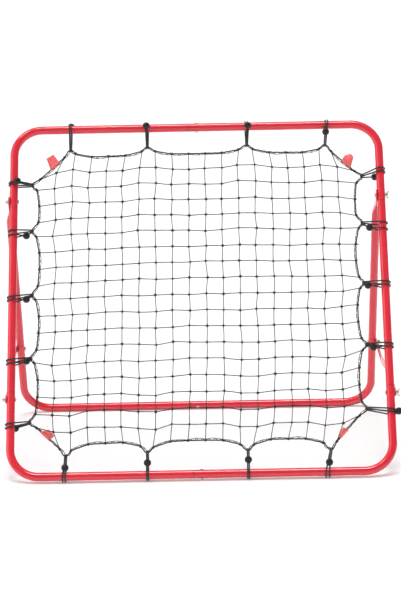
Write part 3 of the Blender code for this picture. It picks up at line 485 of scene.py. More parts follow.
# A tube bent by a quarter circle in the frame's plane: the leg runs down to the bend, and the bar
# runs on from it. With f the angle turned so far, the middle of the tube is at
# (across (R (1 - cos f) + bar run), rise (R (1 - sin f) + leg left)), and each row is a circle
# round it, from the outer side of the bend over the back.
def bentTube(corner, across, rise, barEnd, ownNeck, place):
    bend = tubes["bendRadius"]
    legRun = legEnd - tubes["seamGap"] - bend
    barStart = legRun + bend * math.pi / 2
    length = barStart + barEnd - bend
    between = [legRun * 0.5, *np.linspace(legRun, barStart, tubes["bendSteps"]),
               length - (barEnd - bend) * 0.5]
    run, radius, wear = tubeRows(openEnd, between, length, neckEnd if ownNeck else openEnd)
    turned = np.clip((run - legRun) / bend, 0, math.pi / 2)
    flat, cosine, sine = np.zeros(len(run)), np.cos(turned), np.sin(turned)
    middle = np.stack([
        corner[0] + across * (bend * (1 - cosine) + np.maximum(run - barStart, 0)), flat,
        corner[1] + rise * (bend * (1 - sine) + np.maximum(legRun - run, 0))], axis=-1)
    outward = np.stack([-across * cosine, flat, -rise * sine], axis=-1)[:, None]
    angle = roundAngles(tubes["facets"])[:, None]
    ring = np.cos(angle) * outward + np.sin(angle) * through
    points = middle[:, None] + radius[:, None, None] * ring
    return patch(place(points), tubeGirth, run, wear=wear)


# A straight tube up the frame's plane from height low to height high, necked at both ends.
def straightTube(x, low, high):
    length = high - low
    run, radius, wear = tubeRows(neckEnd, [length * part for part in (0.25, 0.5, 0.75)], length,
                                 neckEnd)
    points = lathe(radius, run, roundAngles(tubes["facets"])) + np.array((x, 0.0, low))
    return patch(inFront(points), tubeGirth, run, wear=wear)


def tubePiece(name, made, body, node):
    makePiece(name, [made], [redPowderCoat], body, node)


legEnd = cornerLeg + tubes["legSeam"]
barEnds = {"left": halfWidth - tubes["barSeam"],
           "right": halfWidth + tubes["barSeam"] - tubes["seamGap"]}
for side, sign in sides:
    for level, rise, height in (("bottom", 1, 0.0), ("top", -1, centreHeight)):
        made = bentTube((sign * halfWidth, height), -sign, rise, barEnds[side], side == "left",
                        inFront)
        tubePiece(f"front_{level}_{side}_tube", made, "front_frame",
                  f"front_{level}_{side}_corner_tube")
    made = straightTube(sign * halfWidth, legEnd, pivotUp - tubes["legSeam"])
    tubePiece(f"front_{side}_upright", made, "front_frame", f"front_{side}_side_tube")
    made = bentTube((sign * halfWidth, -rearLeg), -sign, 1, barEnds[side], side == "left", inRear)
    tubePiece(f"rear_{side}_tube", made, "rear_frame", f"rear_{side}_corner_tube")

# The rear legs' flattened tops
tab = {
    "halfThickness": 0.0014,
    "halfWidth": 0.0145,
    "flat": 0.019,
    "flare": 0.045,
}


# A tube pressed flat at its top: half thickness T eases from the tube's radius to the tab's, and
# half width W = T + k (R - T) grows with it. Each section is x = T cos t,
# y = (W - T) tanh(6 sin t) + T sin t, and above the bolt W follows a round end.
def flattenedLeg(x):
    foot = rearBoltDrop - tubes["legSeam"]
    thin, wide, flareEnd = tab["halfThickness"], tab["halfWidth"], tab["flat"] + tab["flare"]
    legRun, legRadius, legWear = tubeRows([], [], foot, neckEnd)
    z = np.concatenate([wide * np.cos(np.linspace(0.0, math.pi / 2, 14)),
                        -np.linspace(0.004, flareEnd, 34), [-flareEnd - 0.004, -foot / 2],
                        -legRun])
    plain = len(z) - len(legRun)
    radius = np.append(np.full(plain, tubeRadius), legRadius)
    thickness = thin + (tubeRadius - thin) * eased((-z - tab["flat"]) / tab["flare"])
    spread = (wide - thin) / (tubeRadius - thin) * (tubeRadius - thickness)
    roundEnd = np.sqrt(np.clip(1 - np.clip(z / wide, 0, 1) ** 2, 0, 1))
    onTab = z > -0.5 * foot
    half = np.where(onTab, thickness, radius)
    half = np.where(z > 0, thin * np.minimum(1, 3 * roundEnd), half)[:, None]
    spread = (np.where(onTab, spread, 0) * np.where(z > 0, roundEnd, 1))[:, None]
    sine, cosine = np.sin(roundAngles(tubes["facets"])), np.cos(roundAngles(tubes["facets"]))
    points = np.stack([x + half * cosine, spread * np.tanh(6 * sine) + half * sine,
                       np.broadcast_to(z[:, None], (len(z), len(sine)))], axis=-1)
    return patch(inRear(points), tubeGirth, -z, wear=np.append(np.zeros(plain), legWear))


for side, sign in sides:
    tubePiece(f"rear_{side}_leg", flattenedLeg(sign * halfWidth), "rear_frame",
              f"rear_{side}_upper_leg")
print("tubes made")

# Stays
stays = {
    "thickness": 0.003,
    "width": 0.020,
    "crankStart": 0.180,
    "crankLength": 0.130,
    "foldRange": 15.0,
    "holeRadius": 0.0033 / math.cos(math.pi / 8),
    "slotPlay": 0.0005,
    "clearance": 0.0003,
    "edge": 0.0006,
}
upperSide = pivotUp - cornerLeg
foldRange = math.radians(stays["foldRange"])


# From the stay's lower bolt to its upper bolt with the stand folded by an angle, by the law of
# cosines in the triangle of the pivot bolt and the stay's two bolts.
def boltDistance(fold):
    return np.sqrt(upperSide ** 2 + rearBoltDrop ** 2
                   - 2 * upperSide * rearBoltDrop * np.cos(frontLean + rearLean - fold))


def upperAngle(fold):
    reach = boltDistance(fold)
    return np.arccos((rearBoltDrop ** 2 + reach ** 2 - upperSide ** 2)
                     / (2 * rearBoltDrop * reach))


stayReach = float(boltDistance(0.0))
stayShare = float((upperAngle(foldRange) - upperAngle(0.0)) / foldRange)
rearBolt = leaned((0.0, 0.0, -rearBoltDrop), rearLean, rearOrigin)[1:]
frontBolt = leaned((0.0, 0.0, cornerLeg), -frontLean, frontOrigin)[1:]
stayLean = math.atan2(frontBolt[0] - rearBolt[0], rearBolt[1] - frontBolt[1])


# A flat bar as rows down its length. Each row is two strips, from the edge -w to c - a and from
# c + a to w: w is the half width with round ends, a the half width of the hole or slot there, or
# nothing, and c the slot's middle. Where a is nothing the strips meet and are merged.
def stayPiece(side, atRear, atFront):
    radius = stays["width"] / 2
    folds = np.linspace(0.0, foldRange, 60)
    reach = boltDistance(folds)
    lag = upperAngle(folds) - upperAngle(0.0) - stayShare * folds
    slotZ, slotY = -reach * np.cos(lag), reach * np.sin(lag)
    hole, half = stays["holeRadius"], stays["holeRadius"] + stays["slotPlay"]
    arc = np.cos(np.linspace(0, math.pi, 17))
    z = np.unique(np.round(np.concatenate([
        radius * arc[:9], hole * arc, -np.linspace(0.012, stays["crankStart"], 8),
        -stays["crankStart"] - np.linspace(0, 1, 22) * stays["crankLength"],
        slotZ.max() + half * arc[:9], np.linspace(slotZ.min(), slotZ.max(), 26),
        slotZ.min() + half * arc[8:], -stayReach + radius * arc[8:]]), 7))[::-1]
    over = np.clip(z / radius, 0, 1)
    under = np.clip((-stayReach - z) / radius, 0, 1)
    w = radius * np.sqrt(np.clip((1 - over ** 2) * (1 - under ** 2), 0, 1))
    beyond = np.maximum(np.maximum(z - slotZ.max(), slotZ.min() - z), 0)
    inSlot = (z < slotZ.max() + half) & (z > slotZ.min() - half)
    a = np.sqrt(np.clip(np.where(inSlot, half ** 2 - beyond ** 2, hole ** 2 - z ** 2), 0, None))
    order = np.argsort(slotZ)
    c = np.where(inSlot, np.interp(z, slotZ[order], slotY[order]), 0)
    a = np.minimum(a, np.maximum(w - np.abs(c), 0))
    x = eased((-z - stays["crankStart"]) / stays["crankLength"]) * (atFront - atRear)
    strips = []
    for near, far in ((-w, c - a), (c + a, w)):
        y = near[:, None] + np.linspace(0, 1, 5) * (far - near)[:, None]
        points = np.stack(np.broadcast_arrays(x[:, None], y, z[:, None]), axis=-1)
        strips.append(patch(leaned(points, stayLean, (atRear, *rearBolt)), radius, -z,
                            closedColumns=False))
    made = makePiece(f"{side}_stay", strips, [redPowderCoat], f"stay_{side}_body",
                     f"stay_{side}")
    wall = made.modifiers.new("thickness", "SOLIDIFY")
    wall.thickness = stays["thickness"]
    wall.offset = 0.0
    edge = made.modifiers.new("edges", "BEVEL")
    edge.width = stays["edge"]
    edge.segments = 3
    edge.limit_method = "ANGLE"
    edge.angle_limit = math.radians(55)


gap = stays["clearance"]
stayAtFront = tubeRadius + gap * 0.2 + stays["thickness"] / 2
stayAtRear = tubeRadius + gap + stays["thickness"] / 2
for side, sign in sides:
    stayPiece(side, -sideShift + sign * (halfWidth + stayAtRear),
              sideShift + sign * (halfWidth + stayAtFront))
print("stays made")

# Fasteners
bolts = {
    "radius": 0.0029,
    "headRadius": 0.006,
    "headHeight": 0.0035,
    "pitch": 0.0010,
    "threadDepth": 0.00045,
    "threadedLength": 0.012,
    "standOut": 0.001,
    "facets": 32,
}
wingNuts = {
    "hubRadius": 0.006,
    "hubHeight": 0.0068,
    "bore": 0.0030,
    "facets": 36,
    "earFacets": 20,
    "earLine": ((0.0025, 0.0, 0.0033), (0.0052, 0.0, 0.0044), (0.0080, 0.0, 0.0066),
                (0.0098, 0.0, 0.0092), (0.0103, 0.0, 0.0104)),
    "earHigh": ((0, 0.3, 0.65, 1), (0.0026, 0.0022, 0.0026, 0.0024)),
    "earThick": ((0, 0.3, 1), (0.0017, 0.0012, 0.0010)),
    "tipFrom": 0.72,             # the share of an ear's length where its round tip starts
    "turns": {("pivot", "left"): 70, ("pivot", "right"): 55, ("front_stay", "left"): 75,
              ("front_stay", "right"): 50, ("rear_stay", "left"): 80, ("rear_stay", "right"): 65},
}


# A place on a bolt's axis: the piece's own Z goes along the given direction of X, Y or Z, after
# a turn about itself.
def onAxis(points, axis, turn, origin, place):
    c, s = math.cos(math.radians(turn)), math.sin(math.radians(turn))
    x, y, z = np.moveaxis(points, -1, 0)
    x, y = x * c - y * s, x * s + y * c
    frames = {"x": (z, y, -x), "-x": (-z, y, x), "-z": (x, -y, -z), "y": (x, z, -y)}
    return place(np.stack(frames[axis], axis=-1) + np.asarray(origin, float))


# A round-headed bolt. The head's dome is a quarter ellipse, and on the threaded end the radius is
# r - d |saw|, where the saw runs once for each pitch of height plus once round the bolt: a helix.
def boltRows(length, radius, headRadius, headHeight, threaded):
    bow = np.linspace(0, math.pi / 2, 9)
    angle = roundAngles(bolts["facets"])
    shank = np.concatenate([
        np.stack([headRadius * np.sin(bow), -headHeight * (0.25 + 0.75 * np.cos(bow))], axis=1),
        [(headRadius, -0.0002), (headRadius - 0.0002, 0.0), (radius, 0.0), (radius, 0.0006),
         (radius, length - threaded - 0.0003)]])
    z = np.linspace(length - threaded, length - 0.0004, int(threaded / bolts["pitch"] * 8))
    saw = (z[:, None] / bolts["pitch"] + angle / (2 * math.pi)) % 1.0
    fade = np.clip((z - z[0]) / bolts["pitch"], 0, 1)[:, None]
    cut = radius - bolts["threadDepth"] * fade * np.abs(2 * saw - 1)
    return np.concatenate([lathe(shank[:, 0], shank[:, 1], angle), lathe(cut, z, angle),
                           lathe((radius - 0.0007, 0.0), (length, length), angle)])


# A nut's hub is a closed lathe profile. Each ear is carried along a curve that leaves the hub
# and rises: sections a cos t across it and b sin t through it, closed by a round tip.
def wingNutParts():
    h, r, b = wingNuts["hubHeight"], wingNuts["hubRadius"], wingNuts["bore"]
    profile = np.array([
        (b, 0.0003), (b + 0.0003, 0.0), (r - 0.0003, 0.0), (r, 0.0003), (r, 0.0018),
        (r - 0.0003, 0.0026), (r - 0.0011, h - 0.0006), (r - 0.0016, h), (b + 0.0003, h),
        (b, h - 0.0003)])
    hub = lathe(profile[:, 0], profile[:, 1], roundAngles(wingNuts["facets"]))
    line = evenly(throughPoints(wingNuts["earLine"], 8), 0.0006, closed=False)
    far = np.linspace(0, 1, len(line))
    rounded = np.clip((far - wingNuts["tipFrom"]) / (1 - wingNuts["tipFrom"]), 0, 1)
    tip = np.sqrt(np.clip(1 - rounded ** 2, 0, 1))
    high = (np.interp(far, *wingNuts["earHigh"]) * tip)[:, None, None]
    thick = (np.interp(far, *wingNuts["earThick"]) * np.minimum(1, 2.5 * tip))[:, None, None]
    along = carried(line, through)[0]
    up = np.stack([-along[:, 2], along[:, 1], along[:, 0]], axis=1)[:, None]
    angle = roundAngles(wingNuts["earFacets"])[:, None]
    ear = line[:, None] + high * np.cos(angle) * up + thick * np.sin(angle) * through
    ear = np.concatenate([np.broadcast_to(line[:1], ear[:1].shape), ear])
    return [(hub, True), (ear, False), (ear * np.array((-1.0, -1.0, 1.0)), False)]


def sideFastener(name, side, sign, body, place, height, headSeat, nutSeat):
    x = sign * halfWidth
    axis = "x" if sign > 0 else "-x"
    rows = boltRows(headSeat + nutSeat + wingNuts["hubHeight"] + bolts["standOut"],
                    bolts["radius"], bolts["headRadius"], bolts["headHeight"],
                    bolts["threadedLength"])
    made = onAxis(rows, axis, 0.0, (x - sign * headSeat, 0.0, height), place)
    makePiece(f"{name}_{side}_bolt", [patch(made, 0.018)], [zinc], body, f"{name}_bolt_{side}",
              35)
    seat = (x + sign * nutSeat, 0.0, height)
    patches = [patch(onAxis(part, axis, wingNuts["turns"][name, side], seat, place), 0.03,
                     closedRows=ring) for part, ring in wingNutParts()]
    makePiece(f"{name}_{side}_wing_nut", patches, [zinc], f"{name}_wing_nut_{side}_body",
              f"{name}_wing_nut_{side}", 35)


tabFace = 2 * sideShift + stand["tabThickness"] / 2 + gap
for side, sign in sides:
    seats = (tubeRadius, tabFace) if side == "left" else (tabFace, tubeRadius)
    sideFastener("pivot", side, sign, "front_frame", inFront, pivotUp, *seats)
    sideFastener("front_stay", side, sign, "front_frame", inFront, cornerLeg, tubeRadius,
                 stayAtFront + stays["thickness"] / 2 + 0.5 * gap)
    sideFastener("rear_stay", side, sign, "rear_frame", inRear, -rearBoltDrop, tubeRadius + gap,
                 stayAtRear + stays["thickness"] / 2 + gap)

barBolts = {
    "radius": 0.0025,
    "headRadius": 0.00475,
    "headHeight": 0.0025,
    "threadedLength": 0.006,
    "nutWidth": 0.008,
    "nutHeight": 0.0027,
    "chamfer": 0.0005,
    "nutFacets": 72,
    "nutTurn": 12.0,
}


# A six-sided nut: at angle t its radius is the hexagon's, half the width over cos of the angle
# from the nearest flat, cut down by a cone at the top and bottom edges.
def hexNutRows():
    angle = roundAngles(barBolts["nutFacets"])
    flat = (angle + math.pi / 6) % (math.pi / 3) - math.pi / 6
    high, lip, half = barBolts["nutHeight"], barBolts["chamfer"], barBolts["nutWidth"] / 2
    z = np.array((0.0, 0.0, 0.3 * lip, lip, high - lip, high - 0.3 * lip, high, high))
    cone = half + np.array((-9, 0.02, 0.35, 1.6, 1.6, 0.35, 0.02, -9)) * lip
    outer = np.minimum(half / np.cos(flat), cone[:, None])
    outer[[0, -1]] = barBolts["radius"]
    return lathe(outer, z, angle)


for name, body, place, height, axis, seat in (
        ("top", "front_frame", inFront, centreHeight, "-z", tubeRadius),
        ("bottom", "front_frame", inFront, 0.0, "-z", tubeRadius),
        ("rear", "rear_frame", inRear, -rearLeg, "y", tubeRadius + gap)):
    way = through if axis == "y" else np.array((0.0, 0.0, -1.0))
    middle = np.array((0.0, 0.0, height))
    rows = boltRows(2 * seat + barBolts["nutHeight"], barBolts["radius"], barBolts["headRadius"],
                    barBolts["headHeight"], barBolts["threadedLength"])
    made = patch(onAxis(rows, axis, 0.0, middle - seat * way, place), 0.016)
    makePiece(f"{name}_bar_joint_bolt", [made], [zinc], body, f"{name}_bar_bolt", 35)
    nut = onAxis(hexNutRows(), axis, barBolts["nutTurn"], middle + seat * way, place)
    makePiece(f"{name}_bar_joint_nut", [patch(nut, 0.025, closedRows=True)], [zinc], body,
              f"{name}_bar_nut", 25)
print("fasteners made")

# The ties' places, as in the solids. A station is the distance along the tube from the left or
# top corner, or with a minus from the other one. Then the inset from the tube to the rope, how
# far along the tube the loop sits, the spread of its strands there, and the ball's place inward
# from the tube, along it and towards the front.
ties = {
    "top": ((0.151, 0.061, 0.000, 0.006, (-0.0175, 0.000, -0.0170)),
            (0.357, 0.056, 0.000, 0.006, (0.0020, -0.002, 0.0210)),
            (-0.354, 0.055, 0.000, 0.006, (0.0065, 0.004, 0.0205)),
            (-0.144, 0.059, 0.006, 0.006, (0.0240, 0.003, 0.0080))),
    "bottom": ((0.142, 0.0545, -0.004, 0.007, (0.0195, -0.001, 0.0120)),
               (0.351, 0.0605, 0.000, 0.0045, (0.0300, 0.000, 0.0080)),
               (-0.370, 0.061, 0.000, 0.0045, (0.0335, 0.000, 0.0080)),
               (-0.158, 0.059, -0.011, 0.009, (0.0220, -0.006, 0.0100))),
    "left": ((0.162, 0.048, 0.004, 0.006, (0.0105, 0.005, 0.0195)),
             (0.296, 0.049, -0.006, 0.0125, (0.0350, -0.014, 0.0040)),
             (0.479, 0.051, -0.010, 0.009, (0.0370, -0.0125, 0.0040)),
             (-0.322, 0.049, -0.010, 0.010, (0.0398, -0.0095, 0.0080)),
             (-0.1465, 0.048, -0.0095, 0.010, (0.0106, -0.0075, -0.0205))),
    "right": ((0.154, 0.048, 0.015, 0.0105, (0.0130, 0.006, -0.0190)),
              (0.291, 0.052, -0.010, 0.018, (0.0345, -0.0145, 0.0040)),
              (0.462, 0.055, -0.004, 0.010, (0.0457, -0.010, 0.0080)),
              (-0.343, 0.055, -0.004, 0.009, (0.0385, -0.009, 0.0040)),
              (-0.167, 0.0615, -0.008, 0.008, (-0.0180, -0.0115, 0.0110))),
}
net = {
    "pitch": {"top": 0.0448, "bottom": 0.0448, "left": 0.0474, "right": 0.0474},
    "slip": {"top": -0.0008, "bottom": -0.0024, "left": 0.0054, "right": 0.0016},
    "threadPull": 24.0,
    "sag": {"top": 0.0220, "bottom": 0.0296, "left": 0.0195, "right": 0.0195},
    "sagPower": 5.0,
    "ropeFlat": 0.0104,          # the rope runs straight this far through a tie's loop
    "cornerFlat": 0.0048,        # and this far past the tie next to a corner
    "cornerShare": 0.166,
    "cornerSag": 0.0065,
    "threadRadius": 0.00121,
    "threadFacets": 6,
    "knotSize": (0.0040, 0.0033, 0.0037),
    "unevenness": 0.0011,        # how far a knot strays from its settled place in the plane
    "depth": 0.0006,             # and in front of it or behind
    "bow": 0.0003,
    "swell": 0.18,               # how much thicker a thread is at its knots
    "wraps": 0.16,               # height of a knot's wraps, as a share of its size
    "knotTurn": (0.3, 1.3),
    "knotScale": (0.85, 1.12),
}


def tieNode(side, station, inset):
    across = station - math.copysign(halfWidth, station)
    up = centreHeight - station if station > 0 else -station
    return {"top": (across, centreHeight - inset), "bottom": (across, inset),
            "left": (inset - halfWidth, up), "right": (halfWidth - inset, up)}[side]


held = {side: np.array([tieNode(side, tie[0], tie[1]) for tie in row])
        for side, row in ties.items()}
counts = [[max(1, round(abs(run) / net["pitch"][side])) for run in np.diff(held[side][:, axis])]
          for axis, side in enumerate(("top", "left"))]


# Where the net's threads meet the rope on one side: evenly spaced between two ties, on a rope
# that bows inward by sag (1 - |2 s - 1| ^ power), with s the share of the way.
def meetings(side):
    axis = 0 if side in ("top", "bottom") else 1
    inward = 1 if side in ("left", "bottom") else -1
    found = []
    for first, second, count in zip(held[side], held[side][1:], counts[axis]):
        run = second[axis] - first[axis]
        steps = np.arange(count) - (count - 1) / 2
        at = ((first[axis] + second[axis]) / 2 + net["slip"][side]
              + steps * math.copysign(net["pitch"][side], run))
        share = (at - first[axis]) / run
        points = first + share[:, None] * (second - first)
        points[:, 1 - axis] += inward * net["sag"][side] * (1 - np.abs(2 * share - 1)
                                                            ** net["sagPower"])
        found.append(points)
    return np.concatenate(found)


# Where the two outermost threads meet the rope between two corner ties, first on a bar and second
# on an upright: a share of the way from either, and drawn inward.
def cornerMeetings(first, second):
    toward = second - first
    start = first + np.array((math.copysign(net["cornerFlat"], toward[0]), 0.0))
    stop = second - np.array((0.0, math.copysign(net["cornerFlat"], toward[1])))
    run = stop - start
    inward = np.array((-math.copysign(1.0, first[0]),
                       math.copysign(1.0, centreHeight / 2 - first[1])))
    inward = net["cornerSag"] * unit(inward - (inward @ run) / (run @ run) * run)
    return start + net["cornerShare"] * run + inward, stop - net["cornerShare"] * run + inward


met = {side: meetings(side) for side in ties}
corner = {(level, side): cornerMeetings(held[level][column], held[side][row])
          for row, level in ((0, "top"), (-1, "bottom"))
          for column, side in ((0, "left"), (-1, "right"))}
columnEnds, rowEnds = (
    {"top": np.array([corner["top", "left"][0], *met["top"], corner["top", "right"][0]]),
     "bottom": np.array([corner["bottom", "left"][0], *met["bottom"],
                         corner["bottom", "right"][0]])},
    {side: np.array([corner["top", side][1], *met[side], corner["bottom", side][1]])[::-1]
     for side in ("left", "right")})


# Knots of a taut net: each rests at the mean of its four neighbours. A thread pulls harder along
# itself than across, so for each coordinate the two neighbours on the thread that runs that way
# weigh threadPull and the others 1: (weights - weighted neighbours) knots = weighted ends.
def settledKnots():
    rows, columns = len(rowEnds["left"]), len(columnEnds["top"])
    beside = [np.eye(n, k=1) + np.eye(n, k=-1) for n in (rows, columns)]
    upright, level = np.kron(beside[0], np.eye(columns)), np.kron(np.eye(rows), beside[1])
    found = []
    for axis, (up, across) in enumerate(((1.0, net["threadPull"]), (net["threadPull"], 1.0))):
        ends = np.zeros((rows, columns))
        ends[0] += up * columnEnds["bottom"][:, axis]
        ends[-1] += up * columnEnds["top"][:, axis]
        ends[:, 0] += across * rowEnds["left"][:, axis]
        ends[:, -1] += across * rowEnds["right"][:, axis]
        pull = 2 * (up + across) * np.eye(rows * columns) - up * upright - across * level
        found.append(np.linalg.solve(pull, ends.ravel()).reshape(rows, columns))
    return np.stack(found, axis=-1)


# The net's points from its plane to three dimensions, with y towards the back.
def withDepth(points, deep=0.0):
    x, z = np.moveaxis(points, -1, 0)
    return np.stack([x, deep + 0 * x, z], axis=-1)


knots = settledKnots()
knots = knots + shift.normal(0.0, net["unevenness"], knots.shape)
grid = np.zeros((knots.shape[0] + 2, knots.shape[1] + 2, 2))
grid[1:-1, 1:-1] = knots
grid[0, 1:-1], grid[-1, 1:-1] = columnEnds["bottom"], columnEnds["top"]
grid[1:-1, 0], grid[1:-1, -1] = rowEnds["left"], rowEnds["right"]
depth = np.zeros(grid.shape[:2])
depth[1:-1, 1:-1] = shift.normal(0.0, net["depth"], knots.shape[:2])
grid = withDepth(grid, depth)


# Threads of the net as cords from knot to knot, with a bow of a few tenths of a millimetre:
# start + s (end - start) + bow sin(pi s), and a radius that swells towards the knots.
def threadPatch(starts, ends):
    starts, ends = starts.reshape(-1, 1, 3), ends.reshape(-1, 1, 3)
    share = np.linspace(0, 1, 6)
    bow = shift.normal(0.0, net["bow"], (len(starts), 3))[:, None]
    path = starts + share[:, None] * (ends - starts) + np.sin(math.pi * share)[:, None] * bow
    radius = net["threadRadius"] * (1 + net["swell"] * np.abs(2 * share - 1) ** 6)
    return patch(inFront(roundCord(path, radius, through, net["threadFacets"])),
                 2 * math.pi * net["threadRadius"], share * net["pitch"]["top"])


# A knot as a lump with two crossed wraps: radius 1 + wraps sin(2 t + 3 f) sin f on an ellipsoid
# of its three half sizes, each turned by its own angle in the net's plane.
def knotPatch(centres):
    f = np.linspace(0, math.pi, 6)[:, None]
    t = roundAngles(7)
    lump = 1 + net["wraps"] * np.sin(2 * t + 3 * f) * np.sin(f)
    sizes = net["knotSize"]
    across, y, up = (sizes[0] * lump * np.sin(f) * np.cos(t),
                     sizes[1] * lump * np.sin(f) * np.sin(t), sizes[2] * lump * np.cos(f))
    turn = shift.uniform(*net["knotTurn"], len(centres)) * shift.choice((-1, 1), len(centres))
    scale = shift.uniform(*net["knotScale"], len(centres))[:, None, None, None]
    cosine, sine = np.cos(turn)[:, None, None], np.sin(turn)[:, None, None]
    points = np.stack(np.broadcast_arrays(across * cosine - up * sine, y,
                                          across * sine + up * cosine), axis=-1)
    return patch(inFront(points * scale + centres[:, None, None]), 0.012, np.linspace(0, 0.006, 6))


netPatches = [threadPatch(grid[1:-1, :-1], grid[1:-1, 1:]),
              threadPatch(grid[:-1, 1:-1], grid[1:, 1:-1]),
              knotPatch(grid[1:-1, 1:-1].reshape(-1, 3))]
makePiece("knotted_net", netPatches, [netTwine], "front_frame", "net", 60)
print("net made:", knots.shape[0] * knots.shape[1], "knots")

rope = {
    "radius": 0.0018,
    "strandRadius": 0.00108,
    "strandFacets": 6,
    "layLength": 0.0105,
    "step": 0.00125,
    "softening": 12,
    "hitchRing": 0.0028,
    "hitchTwine": 0.0011,
    "hitchSlide": 0.0013,
    "hitchLean": 0.0010,
    "edgeTwine": 0.0009,
    "edgeReach": 0.0020,         # from the rope's middle to the net's edge twine where it is caught
    "opening": 0.0034,           # and how much further it runs between
    "slack": (0.35, 1.15),       # of that, the least and the most share that a gap opens by
    "edgeSway": 0.0012,
    "swayLengths": (0.0131, 0.071),
    "lacingTwine": 0.00080,
    "lacingReach": 0.0024,
    "lacingLength": 0.0165,
    "lacingWander": (0.9, 0.037),  # radians, and a swing's length over 2 pi
    "lacingLoose": 0.35,
    "tailTwine": 0.0010,
    "tailLength": 0.011,
    "tailTaper": 0.15,
    "tailBend": 0.6,
}


# The rope's round in order: top to the right, right side down, bottom to the left, left side up.
# At each tie it runs straight through the loop.
def ropeRoute():
    route = []
    for side, axis, way, after, turn in (("top", 0, 1, ("top", "right"), 1),
                                         ("right", 1, -1, ("bottom", "right"), -1),
                                         ("bottom", 0, -1, ("bottom", "left"), 1),
                                         ("left", 1, 1, ("top", "left"), -1)):
        flats = np.repeat(held[side][np.argsort(held[side][:, axis])], 2, axis=0)
        reach = np.full(len(flats), net["ropeFlat"] / 2)
        reach[[0, -1]] = net["cornerFlat"]
        flats[:, axis] += reach * np.tile((-1, 1), len(flats) // 2)
        row = np.concatenate([flats, met[side]])
        route += [row[np.argsort(way * row[:, axis])], np.array(corner[after])[::turn]]
    return np.concatenate(route)


ropeLine = withDepth(softened(evenly(ropeRoute(), rope["step"]), rope["softening"]))
ropeAlong, ropeAcross, ropeSecond = carried(ropeLine, through, closed=True)
ropeSteps = np.linalg.norm(np.roll(ropeLine, -1, axis=0) - ropeLine, axis=1)
ropeFar, ropeLength = np.cumsum(ropeSteps) - ropeSteps, ropeSteps.sum()
ropeInward = np.cross(ropeAlong, through)
ropeInward *= np.sign(((ropeLine.mean(axis=0) - ropeLine) * ropeInward).sum(1, keepdims=True))
meetingPoints = np.concatenate([*columnEnds.values(), *rowEnds.values()])


def nearestOnRope(points):
    return np.argmin(np.linalg.norm(ropeLine[None, :, ::2] - points[:, None], axis=2), axis=1)


meetingAt = nearestOnRope(meetingPoints)
tieAt = nearestOnRope(np.concatenate(list(held.values())))


# Turns of a helix round the rope, a whole number of them.
def ropePhase(turnLength):
    return 2 * math.pi * round(ropeLength / turnLength) * ropeFar / ropeLength


def closedCord(path, radius, guide, facets, girth, run, finish=1, place=inFront):
    return patch(place(roundCord(path, radius, guide, facets, closed=True)), girth, run,
                 closedRows=True, finish=finish)


# Laid rope: three strands, strand k at line + h (cos(p + 2 pi k / 3) a + sin(...) b), with the
# phase p turning once for each lay length.
def ropePatches():
    off = rope["radius"] - rope["strandRadius"] + 0.00010
    patches = []
    for turn in roundAngles(3):
        p = ropePhase(rope["layLength"])[:, None] + turn
        strand = ropeLine + off * (np.cos(p) * ropeAcross + np.sin(p) * ropeSecond)
        patches.append(closedCord(strand, rope["strandRadius"], through, rope["strandFacets"],
                                  2 * math.pi * rope["strandRadius"], ropeFar, finish=0))
    return patches


# The hitches that hang the net on the rope: two rings of twine round the rope at each thread's
# end, leaning against each other.
def hitchPatches():
    middle, ahead, across = (line[meetingAt][:, None] for line in (ropeLine, ropeAlong, ropeInward))
    t = roundAngles(9)[:, None]
    patches = []
    for lean in (1, -1):
        path = (middle + rope["hitchRing"] * (np.cos(t) * across + np.sin(t) * through)
                + ahead * lean * (rope["hitchLean"] * np.sin(t) - rope["hitchSlide"]))
        patches.append(closedCord(path, rope["hitchTwine"], ahead, 5, 0.0075,
                                  np.linspace(0, 0.021, 9)))
    return patches


# The net's edge twine beside the rope: rope line + inward (a gap that opens between the places
# where it is caught), and the lashing that laces the two together, a loose helix round the rope.
def selvagePatches():
    caught = np.unique(np.concatenate([meetingAt, tieAt]))
    marks = np.concatenate([[ropeFar[caught[-1]] - ropeLength], ropeFar[caught],
                            [ropeFar[caught[0]] + ropeLength]])
    after = np.clip(np.searchsorted(marks, ropeFar, side="right"), 1, len(marks) - 1)
    share = (ropeFar - marks[after - 1]) / (marks[after] - marks[after - 1])
    wide = shift.uniform(*rope["slack"], len(marks))[after]
    opening = rope["opening"] * wide * np.sin(math.pi * share) ** 0.8
    quick, slow = rope["swayLengths"]
    sway = rope["edgeSway"] * np.sin(ropeFar / quick + 2.0 * np.sin(ropeFar / slow))
    twine = (ropeLine + ropeInward * (rope["edgeReach"] + opening)[:, None]
             + ropeAcross * sway[:, None])
    wander, every = rope["lacingWander"]
    phase = ropePhase(rope["lacingLength"]) + wander * np.sin(ropeFar / every)
    loose = rope["lacingLoose"] * opening
    reach = rope["lacingReach"] + loose * (0.5 + 0.5 * np.cos(phase))
    lace = (ropeLine + ropeInward * (reach * np.cos(phase) + loose)[:, None]
            + ropeAcross * (rope["lacingReach"] * np.sin(phase))[:, None])
    return [closedCord(twine, rope["edgeTwine"], through, 5, 0.0063, ropeFar),
            closedCord(lace, rope["lacingTwine"], ropeAlong, 5, 0.0060, ropeFar)]


# Loose ends of the lashing twine, each from its hitch: start + s direction + bend s^2, thinning
# to a rounded tip.
tails = (((-0.238, 0.905), (-0.30, 0.55, 1.0), (-0.35, 0.0, -0.2)),
         ((-0.432, 0.499), (-1.0, 0.5, 0.15), (0.0, 0.0, 0.35)),
         ((-0.433, 0.400), (-1.0, 0.4, 0.45), (0.2, 0.0, -0.3)),
         ((0.428, 0.642), (1.0, 0.3, -0.10), (0.0, 0.2, 0.3)),
         ((0.430, 0.290), (-0.6, 0.5, 1.0), (0.2, 0.0, 0.2)))


